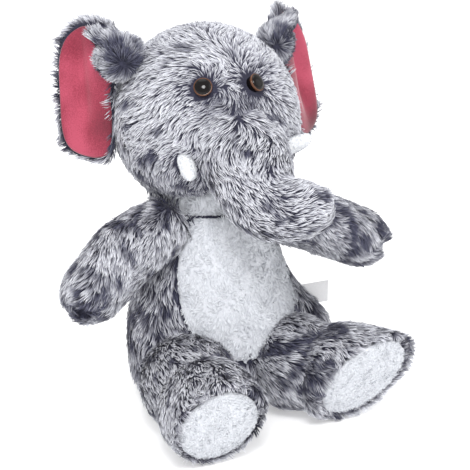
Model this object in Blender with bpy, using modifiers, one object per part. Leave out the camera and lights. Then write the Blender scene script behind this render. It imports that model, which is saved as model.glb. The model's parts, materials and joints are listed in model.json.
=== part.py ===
"""Seated stuffed elephant with a turning head, a lifting trunk, flapping ears, swinging limbs and a tail.

Millimetres in the sizes below, metres in the scene. The elephant faces -Y, its left is +X, its seat rests on
z = 0. Every soft part is a fabric skin cut into its panels, around a stuffing core. Each moving part has a
round root that sits in a matching round hollow, and its origin is on its joint. It sits as a soft toy is left
sitting: the left leg spread wider and drawn in, the right arm hanging lower, the left ear leaning inwards,
and the face turned a little to its right.
"""

import math

import bmesh
import bpy
from mathutils import Matrix, Vector

MM = 0.001

# Overall sizes
TORSO_HEIGHT = 126.0
TORSO_HALF_WIDTH = 53.5
TORSO_DEPTH_RATIO = 0.9
HEAD_RADIUS = 57.0
TRUNK_LENGTH = 62.0
TRUNK_ROOT_RADIUS = 26.0
EAR_WIDTH = 32.0
EAR_HEIGHT = 81.0
EAR_LEANS = {"right": 0.0, "left": 0.15}
EAR_SWEEP = math.radians(44.0)
ARM_LENGTH = 57.0
ARM_RADIUS = 20.0
LEG_LENGTHS = {"right": 58.0, "left": 50.0}
LEG_RADIUS = 30.0
TAIL_LENGTH = 34.0
TAIL_RADIUS = 5.0

# Fabric, gaps and small parts
SKIN = 3.5
LOOSE = 0.5
SEAM = 0.4
SOCKET_GAP = 1.0
SOLE_THICKNESS = 3.0
NECK_GAP = 4.0
EAR_BACK = 4.0
EAR_LINING = 2.6
EAR_BACK_FACE = 3.5
EAR_ROOT_EDGE = 3.5
EAR_STANDOFF = 5.8
LINING_GAP = 0.3
LINING_INSET = 4.0
EYE_RADIUS = 5.5
EYE_HEIGHT = 3.4
EYE_RIM = 0.5
EYE_STANDOFF = 0.3
SHANK_RADIUS = 1.6
SHANK_END = 1.2
WASHER_RADIUS = 6.0
WASHER_THICKNESS = 1.2
WASHER_DEPTH = 1.8
TUSK_RADIUS = 5.0
TUSK_LENGTHS = {"right": 13.0, "left": 16.0}
TUSK_GAP = 1.5
LABEL_SIZE = (24.0, 0.8, 14.0)

# Places that follow from the sizes
NECK_RADIUS = 0.31 * TORSO_HALF_WIDTH
NECK = Vector((0.0, 0.112 * TORSO_HALF_WIDTH, TORSO_HEIGHT + NECK_GAP))
HEAD = NECK + Vector((0.0, 0.0, 0.842 * HEAD_RADIUS))
HEAD_CUT = NECK.z + NECK_GAP
FACE_TURN = Matrix.Rotation(math.radians(-6.0), 3, "Z")
EYE_DIRECTION = Vector((0.28, -0.80, 0.53)).normalized()
TUSK_DIRECTIONS = {
    "right": Vector((-0.10, -0.80, -0.60)).normalized(),
    "left": Vector((0.80, -0.45, 0.40)).normalized(),
}
EAR_FLAT = 0.905 * HEAD_RADIUS
EAR_AXIS_ASIDE = EAR_FLAT + EAR_STANDOFF
EAR_AXES = {
    "right": HEAD + Vector((-EAR_AXIS_ASIDE, 0.09 * HEAD_RADIUS, 0.07 * HEAD_RADIUS)),
    "left": HEAD + Vector((EAR_AXIS_ASIDE, 0.09 * HEAD_RADIUS, 0.02 * HEAD_RADIUS)),
}
TRUNK = HEAD + HEAD_RADIUS * Vector((0.0, -0.943, -0.17))
ARM_ROOT_RADIUS = 0.87 * ARM_RADIUS
ARM = Vector((0.75 * TORSO_HALF_WIDTH, -0.262 * TORSO_HALF_WIDTH, 0.937 * TORSO_HEIGHT))
ARM_DIRECTIONS = {
    "right": Vector((-0.844, -0.219, -0.489)).normalized(),
    "left": Vector((0.902, -0.235, -0.361)).normalized(),
}
LEG = Vector((1.1 * LEG_RADIUS, -0.73 * TORSO_HALF_WIDTH, 1.067 * LEG_RADIUS))
LEG_DIRECTIONS = {
    "right": Vector((-0.09, -1.0, 0.0)).normalized(),
    "left": Vector((0.62, -0.78, 0.0)).normalized(),
}
SOLE_DIRECTIONS = {
    "right": Vector((0.0, -0.93, -0.37)).normalized(),
    "left": Vector((0.12, -0.93, -0.33)).normalized(),
}
TAIL = Vector((0.0, TORSO_DEPTH_RATIO * TORSO_HALF_WIDTH - 0.5, 0.24 * TORSO_HEIGHT))
TAIL_DIRECTION = Vector((0.0, 0.76, -0.65)).normalized()
TAIL_ROOT_RADIUS = 1.2 * TAIL_RADIUS

ORIGIN = Vector((0.0, 0.0, 0.0))
FORWARD = Vector((0.0, -1.0, 0.0))
UP = Vector((0.0, 0.0, 1.0))
FAR = 400.0


def clear_scene():
    for obj in list(bpy.data.objects):
        bpy.data.objects.remove(obj, do_unlink=True)


def new_collection(name, hidden=False):
    collection = bpy.data.collections.new(name)
    collection.hide_render = hidden
    bpy.context.scene.collection.children.link(collection)
    return collection


def new_material(name, color, roughness):
    material = bpy.data.materials.new(name)
    material.use_nodes = True
    shader = material.node_tree.nodes["Principled BSDF"]
    shader.inputs["Base Color"].default_value = (*color, 1.0)
    shader.inputs["Roughness"].default_value = roughness
    material.diffuse_color = (*color, 1.0)
    return material


def scaled_object(name, mesh_edit, origin, collection, material=None, smooth=True):
    """An object whose mesh was drawn in millimetres in world space, with its origin at the given point."""
    mesh = bpy.data.meshes.new(name)
    bmesh.ops.recalc_face_normals(mesh_edit, faces=mesh_edit.faces)
    bmesh.ops.transform(mesh_edit, matrix=Matrix.Translation(-origin), verts=mesh_edit.verts)
    bmesh.ops.transform(mesh_edit, matrix=Matrix.Scale(MM, 4), verts=mesh_edit.verts)
    mesh_edit.to_mesh(mesh)
    mesh_edit.free()
    for face in mesh.polygons:
        face.use_smooth = smooth
    obj = bpy.data.objects.new(name, mesh)
    obj.location = origin * MM
    collection.objects.link(obj)
    if material:
        mesh.materials.append(material)
    return obj


def offset_profile(profile, inset):
    """The profile (distance, half width, half height) moved inwards by the inset, along its own normals."""
    points = [Vector((s, 0.5 * (a + b))) for s, a, b in profile]
    moved = []
    for index, point in enumerate(points):
        before = point - points[index - 1] if index else None
        after = points[index + 1] - point if index + 1 < len(points) else None
        normals = [Vector((-edge.y, edge.x)).normalized() for edge in (before, after) if edge]
        if len(normals) == 1:
            shift = Vector((-inset / normals[0].x, 0.0))
        else:
            shift = -inset * (normals[0] + normals[1]) / (1.0 + normals[0].dot(normals[1]))
        s, a, b = profile[index]
        moved.append((s + shift.x, max(a + shift.y, 0.0), max(b + shift.y, 0.0)))
    return moved


def straight(origin, direction):
    """A straight centreline from the origin. It gives a point and the two directions of its section."""
    side = direction.cross(UP).normalized() if abs(direction.z) < 0.999 else Vector((1.0, 0.0, 0.0))
    height = side.cross(direction)

    def place(distance):
        return origin + distance * direction, side, height

    return place


def lofted(profile, place, segments, inset=0.0):
    """A closed solid of oval rings along a centreline. The profile starts and ends on the line."""
    rings = offset_profile(profile, inset) if inset else profile
    solid = bmesh.new()
    first = solid.verts.new(place(rings[0][0])[0])
    last = solid.verts.new(place(rings[-1][0])[0])
    loops = []
    angles = [(turn + 0.5) * math.tau / segments for turn in range(segments)]
    for distance, half_width, half_height in rings[1:-1]:
        centre, side, height = place(distance)
        loops.append(
            [
                solid.verts.new(
                    centre
                    + half_width * math.cos(angle) * side
                    + half_height * math.sin(angle) * height
                )
                for angle in angles
            ]
        )
    for turn in range(segments):
        other = (turn + 1) % segments
        solid.faces.new((first, loops[0][turn], loops[0][other]))
        solid.faces.new((last, loops[-1][other], loops[-1][turn]))
        for near, away in zip(loops, loops[1:]):
            solid.faces.new((near[turn], away[turn], away[other], near[other]))
    return solid


def ball(centre, radius, segments=18, rings=10):
    solid = bmesh.new()
    bmesh.ops.create_uvsphere(solid, u_segments=segments, v_segments=rings, radius=radius)
    bmesh.ops.translate(solid, verts=solid.verts, vec=centre)
    return solid


def block(low, high):
    solid = bmesh.new()
    low, high = Vector(low), Vector(high)
    bmesh.ops.create_cube(solid, size=1.0)
    for vertex in solid.verts:
        for axis in range(3):
            vertex.co[axis] = high[axis] if vertex.co[axis] > 0 else low[axis]
    return solid


def turned(direction):
    """The rotation that takes +Z onto the direction."""
    return UP.rotation_difference(direction).to_matrix().to_4x4()


def rod(start, direction, length, radius, segments=20, stretch=1.0):
    """A cylinder from the start along the direction; stretch widens it along its second axis."""
    solid = bmesh.new()
    bmesh.ops.create_cone(
        solid, cap_ends=True, segments=segments, radius1=radius, radius2=radius, depth=length
    )
    bmesh.ops.translate(solid, verts=solid.verts, vec=(0.0, 0.0, 0.5 * length))
    bmesh.ops.scale(solid, verts=solid.verts, vec=(1.0, stretch, 1.0))
    bmesh.ops.transform(
        solid, matrix=Matrix.Translation(start) @ turned(direction), verts=solid.verts
    )
    return solid


def half_space(point, direction):
    """A large block that lies ahead of the plane through the point."""
    solid = bmesh.new()
    bmesh.ops.create_cube(solid, size=FAR)
    bmesh.ops.translate(solid, verts=solid.verts, vec=(0.0, 0.0, 0.5 * FAR))
    bmesh.ops.transform(
        solid, matrix=Matrix.Translation(point) @ turned(direction), verts=solid.verts
    )
    return solid


def cutter(name, solid):
    obj = scaled_object(name, solid, ORIGIN, CUTTERS)
    obj.display_type = "WIRE"
    return obj


def part(name, solid, origin, material, cuts=(), keeps=(), smooth=True):
    """A node of the object: the solid, less every cut, and only where every keep is."""
    obj = scaled_object(name, solid, origin, OBJECT, material, smooth)
    steps = [("INTERSECT", other) for other in keeps] + [("DIFFERENCE", other) for other in cuts]
    for operation, other in steps:
        modifier = obj.modifiers.new(other.name, "BOOLEAN")
        modifier.operation = operation
        modifier.object = other
        modifier.solver = "EXACT"
    return obj


def joint(name, place, parent=None):
    empty = bpy.data.objects.new(name, None)
    empty.location = place * MM
    empty.empty_display_size = 0.01
    OBJECT.objects.link(empty)
    if parent:
        attach([empty], parent)
    return empty


def attach(objects, empty):
    """Parents the objects to the joint without moving them."""
    for obj in objects:
        offset = obj.location - world_place(empty)
        obj.parent = empty
        obj.location = offset


def world_place(obj):
    place = obj.location.copy()
    while obj.parent:
        obj = obj.parent
        place += obj.location
    return place


def mirrored(vector, side):
    return Vector((side * vector.x, vector.y, vector.z))


def round_root(radius, width):
    """The start of a profile: a ball about the joint, up to where it is as narrow as the width."""
    widest = math.pi - math.asin(min(width / radius, 1.0))
    steps = 4
    angles = [widest * step / steps for step in range(steps + 1)]
    return [(-radius * math.cos(a), radius * math.sin(a), radius * math.sin(a)) for a in angles]


def tip(distance, length, half_width, half_height):
    """The end of a profile: a rounded cap."""
    angles = [math.pi / 2 * step / 3 for step in range(1, 4)]
    return [
        (distance + length * math.sin(a), half_width * math.cos(a), half_height * math.cos(a))
        for a in angles
    ]


clear_scene()
OBJECT = new_collection("stuffed_elephant")
CUTTERS = new_collection("cutters", hidden=True)

fur = new_material("frosted_fur", (0.42, 0.42, 0.49), 0.95)
pink = new_material("pink_plush", (0.72, 0.16, 0.25), 0.9)
white = new_material("white_plush", (0.86, 0.87, 0.9), 0.95)
filling = new_material("stuffing", (0.9, 0.9, 0.88), 1.0)
beans = new_material("bean_pouch", (0.75, 0.72, 0.66), 0.8)
felt = new_material("tusk_felt", (0.9, 0.9, 0.88), 0.9)
eye_black = new_material("eye_plastic", (0.02, 0.015, 0.012), 0.12)
washer_plastic = new_material("washer_plastic", (0.8, 0.8, 0.8), 0.5)
label_cloth = new_material("label_cloth", (0.93, 0.93, 0.93), 0.8)

joints = {
    "head_turn": joint("head_turn", NECK),
    "tail_swing": joint("tail_swing", TAIL),
}
joints["head_nod"] = joint("head_nod", NECK, joints["head_turn"])
joints["trunk_lift"] = joint("trunk_lift", TRUNK, joints["head_nod"])

# Hollows that the round roots sit in
neck_hollow = cutter("neck_hollow", ball(NECK, NECK_RADIUS + SOCKET_GAP))
trunk_hollow = cutter("trunk_hollow", ball(TRUNK, TRUNK_ROOT_RADIUS + SOCKET_GAP, 18, 10))
tail_hollow = cutter("tail_hollow", ball(TAIL, TAIL_ROOT_RADIUS + SOCKET_GAP, 14, 8))
limb_hollows = []
for side, word in ((-1, "right"), (1, "left")):
    for limb, centre, radius in (("arm", ARM, ARM_ROOT_RADIUS), ("leg", LEG, LEG_RADIUS)):
        name = f"{limb}_{word}_hollow"
        limb_hollows.append(cutter(name, ball(mirrored(centre, side), radius + SOCKET_GAP)))
torso_hollows = [neck_hollow, tail_hollow, *limb_hollows]

# Torso
torso_outline = [
    (0.0, 0.0),
    (0.0, 0.66),
    (0.03, 0.80),
    (0.09, 0.92),
    (0.20, 0.99),
    (0.34, 1.0),
    (0.50, 0.965),
    (0.65, 0.88),
    (0.79, 0.775),
    (0.90, 0.68),
    (0.97, 0.61),
    (1.0, 0.54),
    (1.0, 0.0),
]
torso_profile = [
    (TORSO_HEIGHT * z, TORSO_HALF_WIDTH * r, TORSO_HALF_WIDTH * r * TORSO_DEPTH_RATIO)
    for z, r in torso_outline
]
torso_line = straight(ORIGIN, UP)


def torso_solid(inset=0.0):
    return lofted(torso_profile, torso_line, 22, inset)


SEAT_RADIUS = 0.62 * TORSO_HALF_WIDTH
BELLY_HALF_WIDTH = 0.725 * TORSO_HALF_WIDTH
BELLY_HALF_HEIGHT = 0.34 * TORSO_HEIGHT
BELLY_CENTRE = Vector((0.0, -0.15 * TORSO_HALF_WIDTH, 0.683 * TORSO_HEIGHT))


def belly_window(gap):
    """A rod through the belly's front. It starts ahead of the shoulders, so it takes no sliver there."""
    stretch = (BELLY_HALF_HEIGHT + gap) / (BELLY_HALF_WIDTH + gap)
    return rod(BELLY_CENTRE, FORWARD, FAR, BELLY_HALF_WIDTH + gap, 22, stretch)


def seat_window(gap):
    radius = SEAT_RADIUS + gap
    return rod(Vector((0.0, 0.0, -SKIN)), UP, 3.5 * SKIN, radius, 24, TORSO_DEPTH_RATIO)


torso_inside = cutter("torso_inside", torso_solid(SKIN))
belly_keep = cutter("belly_keep", belly_window(-SEAM / 2))
belly_cut = cutter("belly_cut", belly_window(SEAM / 2))
seat_keep = cutter("seat_keep", seat_window(-SEAM / 2))
seat_cut = cutter("seat_cut", seat_window(SEAM / 2))
halves = {
    "right": cutter("right_half", block((-FAR, -FAR, -FAR), (-SEAM / 2, FAR, FAR))),
    "left": cutter("left_half", block((SEAM / 2, -FAR, -FAR), (FAR, FAR, FAR))),
}
for word in ("right", "left"):
    part(
        f"belly_{word}_panel",
        torso_solid(),
        ORIGIN,
        white,
        [torso_inside, *torso_hollows],
        [belly_keep, halves[word]],
    )
    part(
        f"back_{word}_panel",
        torso_solid(),
        ORIGIN,
        fur,
        [torso_inside, *torso_hollows, belly_cut, seat_cut],
        [halves[word]],
    )
part("seat_panel", torso_solid(), ORIGIN, fur, [torso_inside], [seat_keep])

BEANS_RADIUS = 0.48 * TORSO_HALF_WIDTH
BEANS_HEIGHT = 0.20 * TORSO_HEIGHT
beans_place = Vector((0.0, 0.13 * TORSO_HALF_WIDTH, SKIN + LOOSE))
beans_profile = [(0.0, 0.0, 0.0), (0.0, 0.8 * BEANS_RADIUS, 0.64 * BEANS_RADIUS)]
beans_profile += [(0.2 * BEANS_HEIGHT, BEANS_RADIUS, 0.8 * BEANS_RADIUS)]
beans_profile += tip(0.35 * BEANS_HEIGHT, 0.65 * BEANS_HEIGHT, BEANS_RADIUS, 0.8 * BEANS_RADIUS)
part("bean_pouch", lofted(beans_profile, straight(beans_place, UP), 20), ORIGIN, beans)
pocket_profile = offset_profile(beans_profile, -LOOSE)
pocket_profile[0] = (-3.0 * SKIN, 0.0, 0.0)
pocket_profile[1] = (-3.0 * SKIN, *pocket_profile[1][1:])
beans_pocket = cutter("beans_pocket", lofted(pocket_profile, straight(beans_place, UP), 20))
torso_core_cuts = [*torso_hollows, beans_pocket]
part("torso_stuffing", torso_solid(SKIN + LOOSE), ORIGIN, filling, torso_core_cuts)

LABEL_HEIGHT = LEG.z + 0.7 * LEG_RADIUS
label_low = Vector((0.965 * TORSO_HALF_WIDTH, -0.22 * TORSO_HALF_WIDTH, LABEL_HEIGHT))
label_solid = block(label_low, label_low + Vector(LABEL_SIZE))
part("care_label", label_solid, ORIGIN, label_cloth, smooth=False)

# Neck
neck = part("neck_plug", ball(NECK, NECK_RADIUS, 18, 8), NECK, filling)
attach([neck], joints["head_turn"])


# Head: a ball from ear to ear, with a flat on each side where the ear's edge turns
head_edge = math.asin(EAR_FLAT / HEAD_RADIUS)
head_angles = [head_edge * (step / 6 - 1.0) for step in range(13)]
head_profile = [(-EAR_FLAT, 0.0, 0.0)]
head_profile += [
    (HEAD_RADIUS * math.sin(a), HEAD_RADIUS * math.cos(a), HEAD_RADIUS * math.cos(a))
    for a in head_angles
]
head_profile += [(EAR_FLAT, 0.0, 0.0)]
head_line = straight(HEAD, Vector((1.0, 0.0, 0.0)))


def head_solid(inset=0.0):
    return lofted(head_profile, head_line, 24, inset)


GUSSET_HALF_WIDTH = 0.46 * HEAD_RADIUS
head_inside = cutter("head_inside", head_solid(SKIN))
below_head = cutter("below_head", block((-FAR, -FAR, -FAR), (FAR, FAR, HEAD_CUT)))
gusset_half = GUSSET_HALF_WIDTH - SEAM / 2
gusset_keep = cutter("gusset_keep", block((-gusset_half, -FAR, -FAR), (gusset_half, FAR, FAR)))
chin_block = cutter("chin_block", block((-FAR, -FAR, -FAR), (FAR, 0.0, TRUNK.z)))
side_keeps = {
    "right": block((-FAR, -FAR, -FAR), (-GUSSET_HALF_WIDTH - SEAM / 2, FAR, FAR)),
    "left": block((GUSSET_HALF_WIDTH + SEAM / 2, -FAR, -FAR), (FAR, FAR, FAR)),
}
head_cover = cutter("head_cover", head_solid(-SEAM))


def tusk_place(side):
    """A point of the head beside the trunk's root, clear of it by the tusk's gap."""
    aside = side * (TRUNK_ROOT_RADIUS + TUSK_RADIUS + TUSK_GAP) / HEAD_RADIUS
    down = -0.22
    return HEAD + HEAD_RADIUS * Vector((aside, -math.sqrt(1.0 - aside**2 - down**2), down))


head_parts = []
shank_holes = []
washer_pockets = []
for side, word in ((-1, "right"), (1, "left")):
    toward = FACE_TURN @ mirrored(EYE_DIRECTION, side)
    base = HEAD_RADIUS + EYE_STANDOFF
    washer_top = HEAD_RADIUS - SKIN - WASHER_DEPTH
    shank_end = washer_top - WASHER_THICKNESS - SHANK_END
    eye_profile = [(shank_end, 0.0, 0.0), (shank_end, SHANK_RADIUS, SHANK_RADIUS)]
    eye_profile += [(base, SHANK_RADIUS, SHANK_RADIUS), (base, EYE_RADIUS, EYE_RADIUS)]
    eye_profile += tip(base + EYE_RIM, EYE_HEIGHT - EYE_RIM, EYE_RADIUS, EYE_RADIUS)
    eye = part(f"eye_{word}", lofted(eye_profile, straight(HEAD, toward), 16), HEAD, eye_black)
    washer_base = HEAD + (washer_top - WASHER_THICKNESS) * toward
    hole = rod(HEAD, toward, FAR, SHANK_RADIUS + SEAM, 12)
    shank_holes.append(cutter(f"shank_{word}_hole", hole))
    washer = part(
        f"eye_{word}_washer",
        rod(washer_base, toward, WASHER_THICKNESS, WASHER_RADIUS, 14),
        HEAD,
        washer_plastic,
        [shank_holes[-1]],
    )
    pocket = rod(HEAD + (shank_end - LOOSE) * toward, toward, FAR, WASHER_RADIUS + LOOSE, 14)
    washer_pockets.append(cutter(f"washer_{word}_pocket", pocket))
    tusk_length = TUSK_LENGTHS[word]
    line = straight(tusk_place(side), TUSK_DIRECTIONS[word])
    tusk_profile = [(-TUSK_RADIUS, 0.0, 0.0), (-TUSK_RADIUS, TUSK_RADIUS, TUSK_RADIUS)]
    tusk_profile += [(0.5 * tusk_length, 0.9 * TUSK_RADIUS, 0.9 * TUSK_RADIUS)]
    tusk_tip = 0.84 * TUSK_RADIUS
    tusk_profile += tip(0.6 * tusk_length, 0.4 * tusk_length, tusk_tip, tusk_tip)
    tusk = part(f"tusk_{word}", lofted(tusk_profile, line, 16), HEAD, felt, [head_cover])
    head_parts += [eye, washer, tusk]
for word in ("right", "left"):
    head_parts.append(
        part(
            f"head_{word}_panel",
            head_solid(),
            NECK,
            fur,
            [head_inside, trunk_hollow, below_head],
            [cutter(f"head_{word}_keep", side_keeps[word])],
        )
    )
head_parts.append(
    part(
        "head_gusset",
        head_solid(),
        NECK,
        fur,
        [head_inside, trunk_hollow, below_head, chin_block, *shank_holes],
        [gusset_keep],
    )
)
head_parts.append(
    part(
        "chin_panel",
        head_solid(),
        NECK,
        fur,
        [head_inside, trunk_hollow, below_head],
        [gusset_keep, chin_block],
    )
)
head_core_cuts = [neck_hollow, trunk_hollow, below_head, *washer_pockets]
head_core = head_solid(SKIN + LOOSE)
head_parts.append(part("head_stuffing", head_core, NECK, filling, head_core_cuts))
attach(head_parts, joints["head_nod"])


# Trunk
TRUNK_FALL = math.radians(46.0)
CURL_UP = math.radians(47.0) / TRUNK_ROOT_RADIUS
CURL_ASIDE = math.radians(29.4) / TRUNK_ROOT_RADIUS


def trunk_place():
    """The trunk's centreline: down and forwards from its root, then curling up and to the elephant's left."""
    steps = 60
    step = (TRUNK_LENGTH + 0.4 * TRUNK_ROOT_RADIUS) / steps
    places = [TRUNK.copy()]
    directions = []
    for index in range(steps + 1):
        distance = index * step
        rise = CURL_UP * max(distance - 0.28 * TRUNK_LENGTH, 0.0) - TRUNK_FALL
        aside = CURL_ASIDE * max(distance - 0.25 * TRUNK_LENGTH, 0.0)
        ahead = Vector((math.sin(aside), -math.cos(aside), 0.0))
        directions.append(math.cos(rise) * ahead + math.sin(rise) * UP)
        places.append(places[-1] + step * directions[-1])

    def place(distance):
        index = max(0, min(int(distance / step), steps))
        direction = directions[index]
        centre = places[index] + (distance - index * step) * direction
        side = direction.cross(UP).normalized()
        return centre, side, side.cross(direction)

    return place


TRUNK_TIP_WIDTH = 0.72 * TRUNK_ROOT_RADIUS
TRUNK_TIP_HEIGHT = 0.68 * TRUNK_ROOT_RADIUS
trunk_profile = round_root(TRUNK_ROOT_RADIUS, 0.92 * TRUNK_ROOT_RADIUS)
for share, width, height in (
    (0.30, 0.95, 0.90),
    (0.44, 0.94, 0.88),
    (0.58, 0.91, 0.84),
    (0.72, 0.85, 0.79),
    (0.86, 0.79, 0.74),
    (1.0, 0.72, 0.68),
):
    row = (share * TRUNK_LENGTH, width * TRUNK_ROOT_RADIUS, height * TRUNK_ROOT_RADIUS)
    trunk_profile.append(row)
trunk_profile += tip(TRUNK_LENGTH, 0.6 * TRUNK_TIP_WIDTH, TRUNK_TIP_WIDTH, TRUNK_TIP_HEIGHT)
trunk_line = trunk_place()


def under_tube(gap):
    """A tube that runs below the trunk and holds its underside panel."""

    def place(distance):
        centre, side, height = trunk_line(distance)
        return centre - 0.95 * TRUNK_ROOT_RADIUS * height, side, height

    width = 1.12 * TRUNK_ROOT_RADIUS + gap
    low = -1.2 * TRUNK_ROOT_RADIUS
    high = TRUNK_LENGTH + TRUNK_ROOT_RADIUS
    stations = [low] + [TRUNK_LENGTH * step / 8 for step in range(9)] + [high]
    profile = [(low, 0.0, 0.0)] + [(s, width, width) for s in stations] + [(high, 0.0, 0.0)]
    return lofted(profile, place, 20)


def trunk_solid(inset=0.0):
    return lofted(trunk_profile, trunk_line, 16, inset)


trunk_inside = cutter("trunk_inside", trunk_solid(SKIN))
under_keep = cutter("under_keep", under_tube(-SEAM / 2))
under_cut = cutter("under_cut", under_tube(SEAM / 2))
trunk_parts = [
    part("trunk_top_panel", trunk_solid(), TRUNK, fur, [trunk_inside, under_cut]),
    part("trunk_under_panel", trunk_solid(), TRUNK, fur, [trunk_inside], [under_keep]),
    part("trunk_stuffing", trunk_solid(SKIN + LOOSE), TRUNK, filling),
]
attach(trunk_parts, joints["trunk_lift"])

# Ears
EAR_OUTLINE = [
    (0.0, -0.25),
    (0.08, -0.33),
    (0.42, -0.34),
    (0.80, -0.26),
    (0.97, -0.08),
    (1.0, 0.15),
    (0.98, 0.40),
    (0.86, 0.58),
    (0.58, 0.66),
    (0.22, 0.66),
    (-0.10, 0.60),
    (-0.22, 0.50),
    (-0.14, 0.38),
    (0.0, 0.25),
]
EAR_CENTRE = (0.40, 0.16)
EAR_LEAN_START = 0.22 * EAR_HEIGHT


def ear_solid(word, back, front, inset):
    """A flat piece of the ear's outline, between two distances behind the ear's axis, leaning inwards."""
    side = -1 if word == "right" else 1
    sweep = Matrix.Rotation(EAR_SWEEP, 3, "Z")
    middle = Vector((EAR_CENTRE[0] * EAR_WIDTH, EAR_CENTRE[1] * EAR_HEIGHT))
    solid = bmesh.new()
    layers = []
    for depth in (back, front):
        row = []
        for across, high in EAR_OUTLINE:
            point = Vector((across * EAR_WIDTH, high * EAR_HEIGHT))
            away = point - middle
            point = middle + away * (1.0 - inset / away.length)
            if not inset and across == 0.0:
                point.x = -EAR_ROOT_EDGE
            swept = sweep @ Vector((point.x, depth, point.y))
            swept.x -= EAR_LEANS[word] * (point.y - EAR_LEAN_START)
            row.append(solid.verts.new(EAR_AXES[word] + mirrored(swept, side)))
        layers.append(row)
    solid.faces.new(layers[0])
    solid.faces.new(layers[1])
    count = len(EAR_OUTLINE)
    for index in range(count):
        other = (index + 1) % count
        solid.faces.new((layers[0][index], layers[0][other], layers[1][other], layers[1][index]))
    return solid


for word in ("right", "left"):
    place = EAR_AXES[word]
    hinge = joint(f"ear_{word}_flap", place, joints["head_nod"])
    back_front = EAR_BACK_FACE - EAR_BACK
    back = part(f"ear_{word}_back", ear_solid(word, EAR_BACK_FACE, back_front, 0.0), place, fur)
    lining_back = back_front - LINING_GAP
    lining_solid = ear_solid(word, lining_back, lining_back - EAR_LINING, LINING_INSET)
    lining = part(f"ear_{word}_lining", lining_solid, place, pink)
    for obj, width in ((back, 0.45 * EAR_BACK), (lining, 0.42 * EAR_LINING)):
        bevel = obj.modifiers.new("soft_edge", "BEVEL")
        bevel.width = width * MM
        bevel.segments = 2
        bevel.limit_method = "ANGLE"
        bevel.angle_limit = math.radians(60)
    attach([back, lining], hinge)

# Arms
arm_profile = round_root(ARM_ROOT_RADIUS, 0.82 * ARM_RADIUS)
for share, width, height in (
    (0.20, 0.87, 0.87),
    (0.38, 0.96, 0.96),
    (0.58, 1.02, 1.0),
    (0.80, 1.0, 0.98),
    (1.0, 0.96, 0.93),
):
    arm_profile.append((share * ARM_LENGTH, width * ARM_RADIUS, height * ARM_RADIUS))
arm_profile += tip(ARM_LENGTH, 0.8 * ARM_RADIUS, 0.96 * ARM_RADIUS, 0.93 * ARM_RADIUS)
for side, word in ((-1, "right"), (1, "left")):
    place = mirrored(ARM, side)
    direction = ARM_DIRECTIONS[word]
    line = straight(place, direction)
    above = line(0.0)[2]
    swing = joint(f"arm_{word}_swing", place)
    inside = cutter(f"arm_{word}_inside", lofted(arm_profile, line, 14, SKIN))
    top = cutter(f"arm_{word}_top", half_space(place + 0.5 * SEAM * above, above))
    bottom = cutter(f"arm_{word}_bottom", half_space(place - 0.5 * SEAM * above, -above))
    outer = lofted(arm_profile, line, 14)
    upper = part(f"arm_{word}_upper_panel", outer, place, fur, [inside], [top])
    outer = lofted(arm_profile, line, 14)
    lower = part(f"arm_{word}_lower_panel", outer, place, fur, [inside], [bottom])
    core = lofted(arm_profile, line, 14, SKIN + LOOSE)
    stuffing = part(f"arm_{word}_stuffing", core, place, filling)
    attach([upper, lower, stuffing], swing)

# Legs
LEG_STATIONS = (
    (0.30, 0.93, 0.96),
    (0.45, 0.93, 0.95),
    (0.62, 0.99, 1.01),
    (0.80, 1.02, 1.05),
    (1.0, 1.0, 1.04),
    (1.3, 0.96, 1.0),
)


def leg_profile_of(length):
    """A leg that runs on past its sole, whose plane cuts it."""
    profile = round_root(LEG_RADIUS, 0.92 * LEG_RADIUS)
    for share, width, height in LEG_STATIONS:
        profile.append((share * length, width * LEG_RADIUS, height * LEG_RADIUS))
    return profile + tip(1.3 * length, 0.8 * LEG_RADIUS, 0.96 * LEG_RADIUS, LEG_RADIUS)


for side, word in ((-1, "right"), (1, "left")):
    place = mirrored(LEG, side)
    direction = LEG_DIRECTIONS[word]
    facing = SOLE_DIRECTIONS[word]
    line = straight(place, direction)
    above = line(0.0)[2]
    lift = joint(f"leg_{word}_lift", place)
    leg_profile = leg_profile_of(LEG_LENGTHS[word])
    sole_place = place + LEG_LENGTHS[word] * direction
    inside = cutter(f"leg_{word}_inside", lofted(leg_profile, line, 16, SKIN))
    past_sole = cutter(f"leg_{word}_past_sole", half_space(sole_place, facing))
    sole_start = sole_place - SOLE_THICKNESS * facing
    at_sole = cutter(f"leg_{word}_at_sole", half_space(sole_start, facing))
    skin_end = cutter(f"leg_{word}_skin_end", half_space(sole_start - SEAM * facing, facing))
    top = cutter(f"leg_{word}_top", half_space(place + 0.5 * SEAM * above, above))
    bottom = cutter(f"leg_{word}_bottom", half_space(place - 0.5 * SEAM * above, -above))
    outer = lofted(leg_profile, line, 16)
    upper = part(f"leg_{word}_upper_panel", outer, place, fur, [inside, skin_end], [top])
    outer = lofted(leg_profile, line, 16)
    lower = part(f"leg_{word}_lower_panel", outer, place, fur, [inside, skin_end], [bottom])
    outer = lofted(leg_profile, line, 16)
    sole = part(f"foot_{word}_sole", outer, place, white, [past_sole], [at_sole])
    core = lofted(leg_profile, line, 16, SKIN + LOOSE)
    stuffing = part(f"leg_{word}_stuffing", core, place, filling, [skin_end])
    attach([upper, lower, sole, stuffing], lift)

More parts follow.
